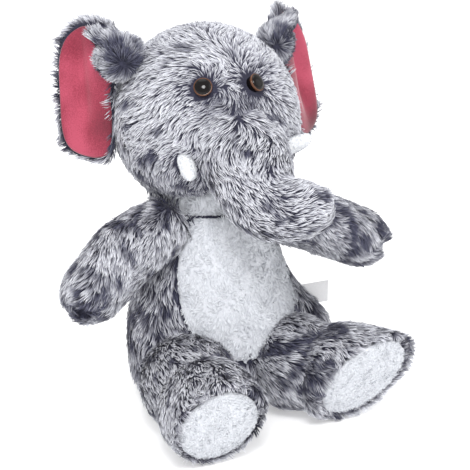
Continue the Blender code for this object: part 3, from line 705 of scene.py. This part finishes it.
EAR_MIDDLE = np.array([0.42 * EAR_WIDTH, 0.16 * EAR_HEIGHT])
EAR_CURVE = closed_curve(EAR_OUTLINE * [EAR_WIDTH, EAR_HEIGHT], 72)
FOLD_OUTLINE = np.array(
    [
        (15, 12),
        (9, 5),
        (11, 0),
        (10, -6),
        (6, -10),
        (1, -12.5),
        (-5, -11),
        (-10, -6),
        (-13, 1),
        (-11, 6),
        (-4, 9.5),
        (5, 12.5),
        (12, 14),
    ]
)
FOLD_MIDDLE = np.array([0.0, 0.0])
FOLD_CURVE = closed_curve(FOLD_OUTLINE, 56)
FOLD_SWEEP = math.radians(8.0)
FOLD_TRIMS = {-1: 1.0, 1: 0.6}  # How much of the fold's outer half each side keeps.
FOLD_OFFSETS = {-1: (-2.0, -8.0, 39.0), 1: (-10.0, -8.0, 41.0)}
# Each rim lists the rings of a flat closed form: the share of its outline, and how far behind its plane.
EAR_RIM = [
    (0.15, -1.2), (0.45, -1.2), (0.75, -1.3), (0.90, -1.6), (0.97, -1.5), (1.0, -0.4),
    (1.0, 0.9), (0.97, 2.0), (0.88, 2.7), (0.7, 3.0), (0.45, 3.1), (0.15, 3.1),
]
LINING_RIM = [
    (0.15, -1.3), (0.5, -1.3), (0.90, -1.5), (0.935, -1.9), (0.945, -2.5), (0.92, -3.2),
    (0.87, -3.6), *((0.80 - 0.07 * step, -3.7) for step in range(11)), (0.04, -3.7),
]
FOLD_RIM = [
    (0.2, 4.0), (0.6, 3.6), (0.9, 2.6), (1.0, 0.8), (0.97, -0.8), (0.85, -2.2),
    (0.65, -3.2), (0.4, -3.7), (0.15, -3.9),
]


def ear_place(side, axis, flat, depth, sweep=EAR_SWEEP):
    """The world place of points given across and up the ear's plane, at a depth behind it."""
    across = np.cos(sweep) * flat[..., 0] - np.sin(sweep) * depth
    deep = np.sin(sweep) * flat[..., 0] + np.cos(sweep) * depth
    if sweep == EAR_SWEEP:  # The fold doesn't lean.
        across = across - EAR_LEANS[side] * (flat[..., 1] - EAR_LEAN_START)
    return np.stack(
        [axis[0] + side * across, axis[1] + deep, axis[2] + flat[..., 1]], axis=-1
    )


def ear_local(side, axis, points, sweep=EAR_SWEEP):
    """Across and up the ear's plane, and the depth behind it, of world points."""
    up = points[:, 2] - axis[2]
    out = side * (points[:, 0] - axis[0])
    if sweep == EAR_SWEEP:
        out = out + EAR_LEANS[side] * (up - EAR_LEAN_START)
    deep = points[:, 1] - axis[1]
    across = np.cos(sweep) * out + np.sin(sweep) * deep
    depth = -np.sin(sweep) * out + np.cos(sweep) * deep
    return np.stack([across, up], axis=1), depth


def fold_place(side, axis):
    out, deep, up = FOLD_OFFSETS[side]
    return axis + np.array([side * out, deep, up])


def ear_shell(name, side, axis, rim, material):
    rings = []
    for part, thick in rim:
        flat = EAR_MIDDLE + (EAR_CURVE - EAR_MIDDLE) * part
        rings.append(ear_place(side, axis, flat, ear_bend(flat) + thick))
    return ringed(name, rings, material)


def fold_shell(name, side, axis):
    """The ear's upper front edge, folded over into a thick soft flap."""
    rings = []
    for part, thick in FOLD_RIM:
        flat = FOLD_MIDDLE + (FOLD_CURVE - FOLD_MIDDLE) * part
        flat[:, 0] = np.where(flat[:, 0] > 0, flat[:, 0] * FOLD_TRIMS[side], flat[:, 0])
        rings.append(ear_place(side, fold_place(side, axis), flat, thick, FOLD_SWEEP))
    return ringed(name, rings, UNDERFUR)


def outline_share(flat, curve, middle):
    """How far out a flat point lies within a closed curve: 1 is on the curve."""
    ray = np.arctan2(flat[:, 1] - middle[1], flat[:, 0] - middle[0])
    rays = np.arctan2(curve[:, 1] - middle[1], curve[:, 0] - middle[0])
    order = np.argsort(rays)
    reach = np.linalg.norm(curve - middle, axis=1)
    limit = np.interp(ray, rays[order], reach[order], period=math.tau)
    return np.linalg.norm(flat - middle, axis=1) / limit


ear_skins, ear_linings, ear_folds = {}, {}, {}
for side, word in SIDES:
    axis = pivots[f"ear_{word}_flap"]
    ear_skins[word] = ear_shell(f"ear_{word}_skin", side, axis, EAR_RIM, UNDERFUR)
    ear_linings[word] = ear_shell(f"ear_{word}_pink", side, axis, LINING_RIM, PINK)
    ear_folds[word] = fold_shell(f"ear_{word}_fold", side, axis)

# Tail
tail_root = pivots["tail_swing"]
TAIL_DIRECTION = unit([0.0, 0.76, -0.65])
tail_stations = np.array([-5, 0, 8, 16, 23, 27, 30, 32, 33.5])
tail_widths = np.array([3.0, 3.2, 3.0, 2.9, 3.3, 3.6, 3.2, 2.2, 0.4])
around = np.arange(16) / 16 * math.tau
tail_skin = ringed(
    "tail_skin",
    limb_rings(tail_root, TAIL_DIRECTION, tail_stations, tail_widths, tail_widths, around),
    UNDERFUR,
)

# Neck
neck_stations = np.linspace(-20, 16, 10)
neck_widths = np.array([30, 32, 33, 33, 33, 33, 34, 35, 35, 34.0])
around = np.arange(40) / 40 * math.tau
neck_rings = [
    NECK + np.stack([w * np.cos(around), 0.9 * w * np.sin(around), np.full(40, z)], axis=-1)
    for z, w in zip(neck_stations, neck_widths)
]
neck_skin = ringed("neck_skin", neck_rings, WHITE_CLOTH)

# ---------------------------------------------------------------- eyes and tusks
FACE_TURN = math.radians(-6.0)
EYE_WAY = unit([0.28, -0.80, 0.53])
TUSK_BASES = {"right": unit([-0.57, -0.79, -0.22]), "left": unit([0.57, -0.79, -0.22])}
TUSK_WAYS = {"right": unit([-0.10, -0.80, -0.60]), "left": unit([0.80, -0.45, 0.40])}
TUSK_LENGTHS = {"right": 13.0, "left": 16.0}
TUSK_RADIUS = 4.6
TUSK_SEAT = HEAD_RADIUS + 1.0
TUSK_SHAPE = [
    (-0.45, 0.90), (-0.2, 0.98), (0.06, 1.0), (0.25, 1.0), (0.44, 0.97), (0.62, 0.90),
    (0.80, 0.76), (0.93, 0.54), (1.0, 0.28),
]
EYE_TILTS = {"right": np.array([-0.05, 0.0, 0.0]), "left": np.array([0.26, 0.05, 0.0])}


def face_turned(vector):
    c, s = math.cos(FACE_TURN), math.sin(FACE_TURN)
    return np.array([vector[0] * c - vector[1] * s, vector[0] * s + vector[1] * c, vector[2]])


EYE_WAYS = {
    word: face_turned(mirrored(EYE_WAY, side)) for side, word in SIDES
}
eyes, rings_of_eyes, tusks = {}, {}, {}


def turned_rings(origin, way, stations, bow=0.0):
    """Round rings along a line from the origin, given as distance and radius; bow lifts the far end."""
    across, above = limb_frame(way)
    around = np.arange(40) / 40 * math.tau
    return [
        origin
        + distance * way
        + bow * max(distance, 0.0) ** 2 * UP
        + wide * (np.cos(around)[:, None] * across + np.sin(around)[:, None] * above)
        for distance, wide in stations
    ]


EYE_SEAT = 54.5
EYE_RADIUS = 4.8
for word, way in EYE_WAYS.items():
    seat = HEAD + EYE_SEAT * way
    facing = unit(way + EYE_TILTS[word])
    ring_stations = [(0.9, 4.6), (1.0, 5.1), (1.5, 5.35), (2.1, 5.3), (2.5, 5.0), (2.4, 4.5)]
    rings_of_eyes[word] = ringed(
        f"eye_{word}_ring", turned_rings(seat, facing, ring_stations), EYE_BROWN
    )
    dome = [(-6.0, 4.4), (0.0, 4.75), (1.2, EYE_RADIUS)] + [
        (2.0 + 2.2 * math.sin(a), EYE_RADIUS * math.cos(a)) for a in np.linspace(0.05, 1.52, 10)
    ]
    eyes[word] = ringed(f"eye_{word}_dome", turned_rings(seat, facing, dome), EYE_BLACK)
    tusk_stations = [(TUSK_LENGTHS[word] * s, TUSK_RADIUS * w) for s, w in TUSK_SHAPE]
    base = HEAD + TUSK_SEAT * TUSK_BASES[word]
    tusks[word] = ringed(
        f"tusk_{word}_cloth",
        turned_rings(base, TUSK_WAYS[word], tusk_stations, 0.004),
        TUSK_CLOTH,
    )


# ---------------------------------------------------------------- pile on every part


STRANDS = {
    "head": 39500,
    "torso": 26000,
    "neck": 4500,
    "arm": 12000,
    "leg": 17000,
    "ear": 8000,
    "fold": 3400,
    "tail": 1100,
    "belly": 15000,
    "bib": 12000,
    "sole": 5200,
    "tusk": 1300,
}
FUR_LENGTH = 7.5


def wander(points, amount, seed, scale=26.0):
    """A smooth random direction at each point, so that the pile parts and swirls."""
    field = np.stack([waves(points, scale, seed + k) for k in range(3)], axis=1)
    fine = np.stack([waves(points, scale * 0.35, seed + 10 + k) for k in range(3)], axis=1)
    return amount * (field + 0.6 * fine)


def crushed(points, seed, crush):
    """How dark the pile is: mostly frosted, with dark patches where it is brushed against its lie."""
    broad = waves(points, 34.0, seed)
    fine = waves(points, 13.0, seed + 3)
    specks = waves(points, 6.0, seed + 6)
    blotches = smooth_step(1.1 - crush, 2.6 - crush, 0.7 * broad + fine)
    return 0.05 + 0.10 * crush + 0.78 * blotches + (0.06 + 0.14 * crush) * specks


def grown(name, skin, count, seed, comb, keep, length, lift=0.40, extra_tone=None, crush=0.9):
    """Frosted fur on a skin, rooted at the points that keep allows."""
    points, normals = scatter(skin, count, seed)
    kept = keep(points)
    points, normals = points[kept], normals[kept]
    direction = unit(comb(points)) + wander(points, 0.30, seed, 38.0)
    tone = crushed(points, seed + 50, crush)
    if extra_tone is not None:
        tone = np.clip(tone + extra_tone(points), 0, 1)
    length = length(points) if callable(length) else length
    lift = lift(points) if callable(lift) else lift
    locks = {"width": 0.6, "lock": 4, "pull": 0.45}
    return pile(name, points, normals, direction, FROSTED, length, lift, tone, seed=seed, **locks)


EYE_PLACES = [HEAD + (EYE_SEAT + 0.5) * way for way in EYE_WAYS.values()]
TUSK_PLACES = [HEAD + TUSK_SEAT * way for way in TUSK_BASES.values()]


def nearest_of(places, points):
    return np.min([np.linalg.norm(points - place, axis=1) for place in places], axis=0)


def head_keep(points):
    return (nearest_of(EYE_PLACES, points) > 6.3) & (nearest_of(TUSK_PLACES, points) > 6.2)


def head_length(points):
    """Shorter round the eyes and tusks, and along the trunk."""
    length = 4.2 + 3.3 * smooth_step(7.0, 20.0, nearest_of(EYE_PLACES, points))
    by_tusk = 4.5 + 3.0 * smooth_step(6.0, 14.0, nearest_of(TUSK_PLACES, points))
    forward = (points - TRUNK) @ trunk_way
    on_trunk = FUR_LENGTH - 1.5 * smooth_step(0.0, 30.0, forward)
    return np.minimum(np.minimum(length, by_tusk), on_trunk)


def head_lift(points):
    """Sleeker on the forehead and along the trunk than on the cheeks."""
    forehead = smooth_step(0.0, 24.0, points[:, 2] - HEAD[2])
    trunk = smooth_step(5.0, 30.0, (points - TRUNK) @ trunk_way)
    return 0.42 - 0.19 * np.maximum(forehead, trunk)


def trunk_station(points):
    """For each point, how far along the trunk the nearest place on its line lies, and the way there."""
    distances = np.linspace(0.0, 1.25 * TRUNK_LENGTH, 50)
    centres, across, above, ways = trunk_path(distances)
    nearest = np.argmin(np.linalg.norm(points[:, None] - centres[None], axis=2), axis=1)
    off = points - centres[nearest]
    sideways = (off * across[nearest]).sum(1)
    upward = (off * above[nearest]).sum(1)
    return distances[nearest], ways[nearest], sideways, upward


def head_comb(points):
    """Away from the face over the head, and along the trunk on the trunk."""
    over = unit(points - (HEAD + np.array([-6.0, -60.0, 27.0]))) + np.array([0.0, 0.0, -0.55])
    near_eye = sum(
        bump(points, eye, 11.0)[:, None] * unit(points - eye) * 2.5 for eye in EYE_PLACES
    )
    _, ways, _, _ = trunk_station(points)
    forward = smooth_step(-4.0, 12.0, (points - TRUNK) @ trunk_way)[:, None]
    return over * (1 - forward) + (ways + np.array([0.1, 0, -0.25])) * forward * 1.3 + near_eye


def head_tone(points):
    """Dark round the eyes; painted shade over the lower head, growing downwards, with random dark patches in
    it; dark streaks along the trunk, with painted shade and a painted highlight at its lower edge; and
    painted light on the forehead.
    """
    tone = np.zeros(len(points))
    for side, eye in zip((-1, 1), EYE_PLACES):
        tone += 0.80 * bump(points, eye + np.array([side * 6.0, 2.0, 9.0]), 7.5)
        tone += 0.60 * bump(points, eye + np.array([-side * 7.0, -2.0, -8.0]), 7.0)
        tone += 0.45 * bump(points, eye, 9.0)
    brow = 0.5 * (EYE_PLACES[0] + EYE_PLACES[1])
    tone += 0.40 * bump(points, brow + np.array([0.0, -2.0, -10.0]), 14.0)
    distance, _, sideways, upward = trunk_station(points)
    along = smooth_step(2.0, 10.0, distance) * smooth_step(1.15, 0.95, distance / TRUNK_LENGTH)
    edge = np.arctan2(upward, sideways) + 0.24 + 0.72 * distance / TRUNK_LENGTH
    # A painted highlight runs along the trunk's lower edge, with a painted shade band beside it where the
    # trunk meets the cheek; the streaks are the fur's own.
    trunk_edge_highlight = np.exp(-((edge / 0.13) ** 2))
    streaks = np.exp(-(((edge - 0.30) / 0.13) ** 2)) * smooth_step(-0.7, 0.5, waves(points, 9.0, 5))
    trunk_crease_shade = np.exp(-(((edge + 0.42) / 0.22) ** 2))
    tone += along * (0.85 * streaks - 0.8 * trunk_edge_highlight + 0.45 * trunk_crease_shade)
    # Painted shade over the lower head, darker downwards and off the trunk, mixed with random dark patches;
    # painted light on the forehead.
    down = HEAD[2] - points[:, 2]
    off_trunk = 1.0 - smooth_step(0.0, 10.0, distance)
    cheeks = smooth_step(-12.0, 26.0, down) * off_trunk
    patches = smooth_step(0.1, 1.3, waves(points, 16.0, 8) + 0.7 * waves(points, 8.0, 9))
    forehead = smooth_step(6.0, 26.0, -down)
    return tone + cheeks * (0.26 + 0.55 * patches) - 0.14 * forehead


head_pile = grown(
    "head_pile",
    head_skin,
    STRANDS["head"],
    11,
    head_comb,
    head_keep,
    head_length,
    head_lift,
    head_tone,
    0.1,
)
torso_pile = grown(
    "torso_pile",
    torso_skin,
    STRANDS["torso"],
    21,
    lambda points: np.array([0.0, 0.0, -1.0]) + 0.2 * (points - TORSO) / 50,
    lambda points: (belly_share(points) > 1.0) & (points[:, 2] > 2.0),
    8.0,
    0.40,
    # Darker towards the bottom, and painted shade on the upper front, under the head.
    lambda points: 0.10
    + 0.20 * smooth_step(70.0, 20.0, points[:, 2])
    + 0.35 * smooth_step(104.0, 122.0, points[:, 2]) * (points[:, 1] < TORSO[1]),
)


def under_chin(points):
    """The white patch's top, which runs up the front of the neck."""
    aside = np.abs(points[:, 0] - TORSO[0] + 1.0)
    return (points[:, 1] < NECK[1] - 8.0) & (aside < 25.0)


neck_pile = grown(
    "neck_pile",
    neck_skin,
    STRANDS["neck"],
    31,
    lambda points: np.array([0.0, 0.0, -1.0]) + 0.3 * (points - NECK) / 30,
    lambda points: (np.abs(points[:, 2] - NECK[2]) < 18) & ~under_chin(points),
    FUR_LENGTH,
    # Painted shade: the neck pile is darker all over, where it lies under the head.
    extra_tone=lambda points: np.full(len(points), 0.30),
)
ARM_TONES = {"right": 0.0, "left": 0.10}
arm_piles, leg_piles, ear_piles, fold_piles = {}, {}, {}, {}
for side, word in SIDES:
    seed = 41 + side
    place = pivots[f"arm_{word}_swing"]
    direction = ARM_WAYS[word]
    hand = place + (ARM_LENGTH + 5.0) * direction
    wrist = place + (ARM_LENGTH - 11.0) * direction
    arm_piles[word] = grown(
        f"arm_{word}_pile",
        arm_skins[word],
        STRANDS["arm"],
        seed,
        lambda points: direction + np.array([0.0, 0.0, -0.35]),
        lambda points: ~inside_torso(points),
        FUR_LENGTH,
        0.40,
        lambda points: ARM_TONES[word]
        + 0.6 * bump(points, hand + np.array([0.0, -14.0, -2.0]), 9.0)
        + 0.7 * bump(points, wrist + np.array([-4.0, -17.0, 6.0]), 8.0),
    )
    place = pivots[f"leg_{word}_lift"]
    direction = LEG_WAYS[word]
    facing = SOLE_WAYS[word]
    middle = place + LEG_LENGTHS[word] * direction
    leg_piles[word] = grown(
        f"leg_{word}_pile",
        leg_skins[word],
        STRANDS["leg"],
        seed + 10,
        lambda points: direction + np.array([0.0, 0.0, -0.5]),
        lambda points: ~inside_torso(points) & ((points - middle) @ facing < -0.4),
        FUR_LENGTH,
        0.40,
    )
    axis = pivots[f"ear_{word}_flap"]

    def ear_keep(points):
        flat, depth = ear_local(side, axis, points)
        part = outline_share(flat, EAR_CURVE, EAR_MIDDLE)
        return (depth - ear_bend(flat) > -0.6) | (part > 0.955)

    def fold_tone(points):
        flat, _ = ear_local(side, fold_place(side, axis), points, FOLD_SWEEP)
        return 0.85 * np.exp(-((1.2 * outline_share(flat, FOLD_CURVE, FOLD_MIDDLE)) ** 3)) - 0.05

    outward = np.array([side * math.cos(EAR_SWEEP), math.sin(EAR_SWEEP), 0.0])
    ear_piles[word] = grown(
        f"ear_{word}_pile",
        ear_skins[word],
        STRANDS["ear"],
        seed + 20,
        lambda points: 0.8 * outward + (points - axis - 18.0 * outward) / 60,
        ear_keep,
        FUR_LENGTH,
        0.34,
    )
    fold_piles[word] = grown(
        f"ear_{word}_fold_pile",
        ear_folds[word],
        STRANDS["fold"],
        seed + 30,
        lambda points: points - fold_place(side, axis) + np.array([0.0, 0.0, 4.0]),
        lambda points: np.ones(len(points), bool),
        7.0,
        0.38,
        fold_tone,
    )
tail_pile = grown(
    "tail_pile",
    tail_skin,
    STRANDS["tail"],
    71,
    lambda points: np.broadcast_to(TAIL_DIRECTION, points.shape),
    lambda points: np.ones(len(points), bool),
    6.0,
)


def short_pile(name, skin, count, seed, keep, length, lift):
    """White plush or felt on a skin, brushed down and only faintly mottled."""
    points, normals = scatter(skin, count, seed)
    kept = keep(points, normals)
    points, normals = points[kept], normals[kept]
    direction = np.array([0.0, 0.0, -0.8]) + wander(points, 0.8, seed, 14.0)
    tone = 0.20 + 0.15 * smooth_step(0.2, 1.6, waves(points, 9.0, seed + 5))
    locks = {"width": 0.5, "lock": 10, "pull": 0.55}
    return pile(name, points, normals, direction, WHITE_PILE, length, lift, tone, seed=seed, **locks)


def squared(wave):
    """A cosine or sine drawn out, so that an oval becomes a rounded rectangle."""
    return np.sign(wave) * np.abs(wave) ** (2 / BELLY_SQUARENESS)


# White patch: the torso's front, raised a little, with a seam down its middle
patch_rings = []
patch_turns = np.arange(80) / 80 * math.tau
for part, raised in (
    (0.5, -2.0), (0.97, -2.0), (1.0, -0.6), (0.985, 0.5), (0.95, 1.1), (0.88, 1.4), (0.78, 1.5),
    (0.66, 1.5), (0.54, 1.5), (0.42, 1.5), (0.30, 1.5), (0.18, 1.5), (0.08, 1.5),
):
    up = part * squared(np.sin(patch_turns))
    x = BELLY_ASIDE + BELLY_WIDE * part * squared(np.cos(patch_turns)) / (1.0 + BELLY_TAPER * up)
    height = BELLY_Z + BELLY_HIGH * up
    lower = np.minimum(height, TORSO_HEIGHT - 1.0)
    radius = torso_radius(lower) - PILE_DEPTH
    share = np.clip(x / radius, -0.999, 0.999)
    angle = -np.arccos(share)
    seam = 1.5 * np.exp(-(((x - BELLY_ASIDE) / 1.6) ** 2)) if raised > 1.0 else 0.0
    patch_rings.append(torso_surface(lower, angle, PILE_DEPTH - raised + seam))
belly_skin = ringed("belly_skin", patch_rings, WHITE_CLOTH)
belly_pile = short_pile(
    "belly_pile",
    belly_skin,
    STRANDS["belly"],
    81,
    lambda points, normals: (normals[:, 1] < 0.1)
    & (np.abs(points[:, 0] - TORSO[0] - BELLY_ASIDE) > 0.5),
    3.4,
    0.5,
)
bib_pile = short_pile(
    "bib_pile",
    neck_skin,
    STRANDS["bib"],
    85,
    lambda points, normals: under_chin(points),
    6.0,
    0.45,
)
sole_piles, tusk_piles = {}, {}
for side, word in SIDES:
    facing = SOLE_WAYS[word]
    sole_piles[word] = short_pile(
        f"foot_{word}_sole_pile",
        soles[word],
        STRANDS["sole"],
        91 + side,
        lambda points, normals: normals @ facing > 0.0,
        1.9,
        0.7,
    )
for side, word in SIDES:
    tusk_piles[word] = short_pile(
        f"tusk_{word}_pile",
        tusks[word],
        STRANDS["tusk"],
        101 + side,
        lambda points, normals: np.linalg.norm(points - HEAD, axis=1) > HEAD_RADIUS,
        1.1,
        0.5,
    )

# ---------------------------------------------------------------- riding, baking and hiding


def on(body, slot, *objects):
    for obj in objects:
        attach(obj, body)


def between(a, b, start, end, slot, *objects):
    for obj in objects:
        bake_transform(obj)


def limb(body, joint, way, reach, skin, fur):
    """Fixes a limb's skin and fur in place, and hides the limb's own panels and stuffing."""
    place = pivots[joint]
    between("torso", body, place - 6 * way, place + reach * way, "frosted_fur", skin, fur)
    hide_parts(*(f"{body}_{piece}" for piece in ("upper_panel", "lower_panel", "stuffing")))


on("torso", "frosted_fur", torso_skin, torso_pile)
on("torso", "white_plush", belly_skin, belly_pile)
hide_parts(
    "back_left_panel", "back_right_panel", "seat_panel", "torso_stuffing", "bean_pouch"
)
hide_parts("belly_left_panel", "belly_right_panel")
between("torso", "neck", NECK - 14 * UP, NECK + 4 * UP, "frosted_fur", neck_skin, neck_pile)
between("torso", "neck", NECK - 14 * UP, NECK + 4 * UP, "white_plush", bib_pile)
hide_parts("neck_plug")
trunk_start = TRUNK + 2.0 * trunk_way
between("head", "trunk", trunk_start, TRUNK + 26.0 * trunk_way, "frosted_fur", head_skin, head_pile)
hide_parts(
    "head_gusset",
    "chin_panel",
    "head_left_panel",
    "head_right_panel",
    "head_stuffing",
    "trunk_top_panel",
    "trunk_under_panel",
    "trunk_stuffing",
)
for side, word in SIDES:
    on("head", "eye_plastic", eyes[word], rings_of_eyes[word])
    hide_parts(f"eye_{word}", f"eye_{word}_washer")
    on("head", "tusk_felt", tusks[word], tusk_piles[word])
    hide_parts(f"tusk_{word}")
    axis = pivots[f"ear_{word}_flap"]
    out = np.array([side * math.cos(EAR_SWEEP), math.sin(EAR_SWEEP), 0.0])
    ear_start, ear_end = axis - 4 * out, axis + 6 * out
    furry = (ear_skins[word], ear_piles[word], ear_folds[word], fold_piles[word])
    between("head", f"ear_{word}", ear_start, ear_end, "frosted_fur", *furry)
    between("head", f"ear_{word}", ear_start, ear_end, "pink_plush", ear_linings[word])
    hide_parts(f"ear_{word}_back")
    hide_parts(f"ear_{word}_lining")
    arm, leg = f"arm_{word}", f"leg_{word}"
    limb(arm, f"{arm}_swing", ARM_WAYS[word], 16, arm_skins[word], arm_piles[word])
    limb(leg, f"{leg}_lift", LEG_WAYS[word], 18, leg_skins[word], leg_piles[word])
    on(f"leg_{word}", "white_plush", soles[word], sole_piles[word])
    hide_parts(f"foot_{word}_sole")
tail_start, tail_end = tail_root - 3 * TAIL_DIRECTION, tail_root + 6 * TAIL_DIRECTION
between("torso", "tail", tail_start, tail_end, "frosted_fur", tail_skin, tail_pile)
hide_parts("tail_sleeve", "tail_tuft")

label = frame["nodes"]["care_label"]
label.data.materials.clear()
label.data.materials.append(LABEL)

# ---------------------------------------------------------------- floor, light and camera
bpy.ops.mesh.primitive_plane_add(size=8.0, location=(0.0, 0.0, 0.0))
floor = bpy.context.object
floor.name = "floor"
floor_material, _, floor_shader = new_material("floor_white", 0.9)
floor_shader.inputs["Base Color"].default_value = (0.95, 0.95, 0.95, 1.0)
floor_shader.inputs["Emission Color"].default_value = (1.0, 1.0, 1.0, 1.0)
floor_shader.inputs["Emission Strength"].default_value = 0.35
floor.data.materials.append(floor_material)

world = bpy.data.worlds.new("studio")
bpy.context.scene.world = world
world.use_nodes = True
world.node_tree.nodes["Background"].inputs["Color"].default_value = (1.0, 1.0, 1.0, 1.0)
world.node_tree.nodes["Background"].inputs["Strength"].default_value = 0.84


def area_light(name, place, size, power):
    data = bpy.data.lights.new(name, "AREA")
    data.shape = "DISK"
    data.size = size
    data.energy = power
    lamp = bpy.data.objects.new(name, data)
    bpy.context.scene.collection.objects.link(lamp)
    lamp.location = place
    toward = Vector((0.0, 0.0, 0.11)) - Vector(place)
    lamp.rotation_euler = toward.to_track_quat("-Z", "Y").to_euler()


area_light("key_light", (-0.7, -1.0, 1.2), 0.5, 3.0)
area_light("fill_light", (1.1, -0.7, 0.7), 1.3, 3.5)
area_light("top_light", (0.0, 0.4, 1.5), 1.2, 5.0)
area_light("soft_box", (-0.24, -0.50, 0.66), 0.26, 3.4)

CAMERA_AZIMUTH = math.radians(-25.0)
CAMERA_ELEVATION = math.radians(20.0)
CAMERA_DISTANCE = 0.9
CAMERA_AIM = np.array([10.0, -14.0, 108.0])
target = (TORSO + CAMERA_AIM) * MM
back = np.array(
    [
        math.sin(CAMERA_AZIMUTH) * math.cos(CAMERA_ELEVATION),
        -math.cos(CAMERA_AZIMUTH) * math.cos(CAMERA_ELEVATION),
        math.sin(CAMERA_ELEVATION),
    ]
)
camera_data = bpy.data.cameras.new("camera")
camera_data.sensor_width = 36.0
camera_data.lens = 115.0
camera = bpy.data.objects.new("camera", camera_data)
bpy.context.scene.collection.objects.link(camera)
camera.location = Vector(target + CAMERA_DISTANCE * back)
camera.rotation_euler = Vector(-back).to_track_quat("-Z", "Y").to_euler()
bpy.context.scene.camera = camera
bpy.context.scene.view_settings.view_transform = "Standard"
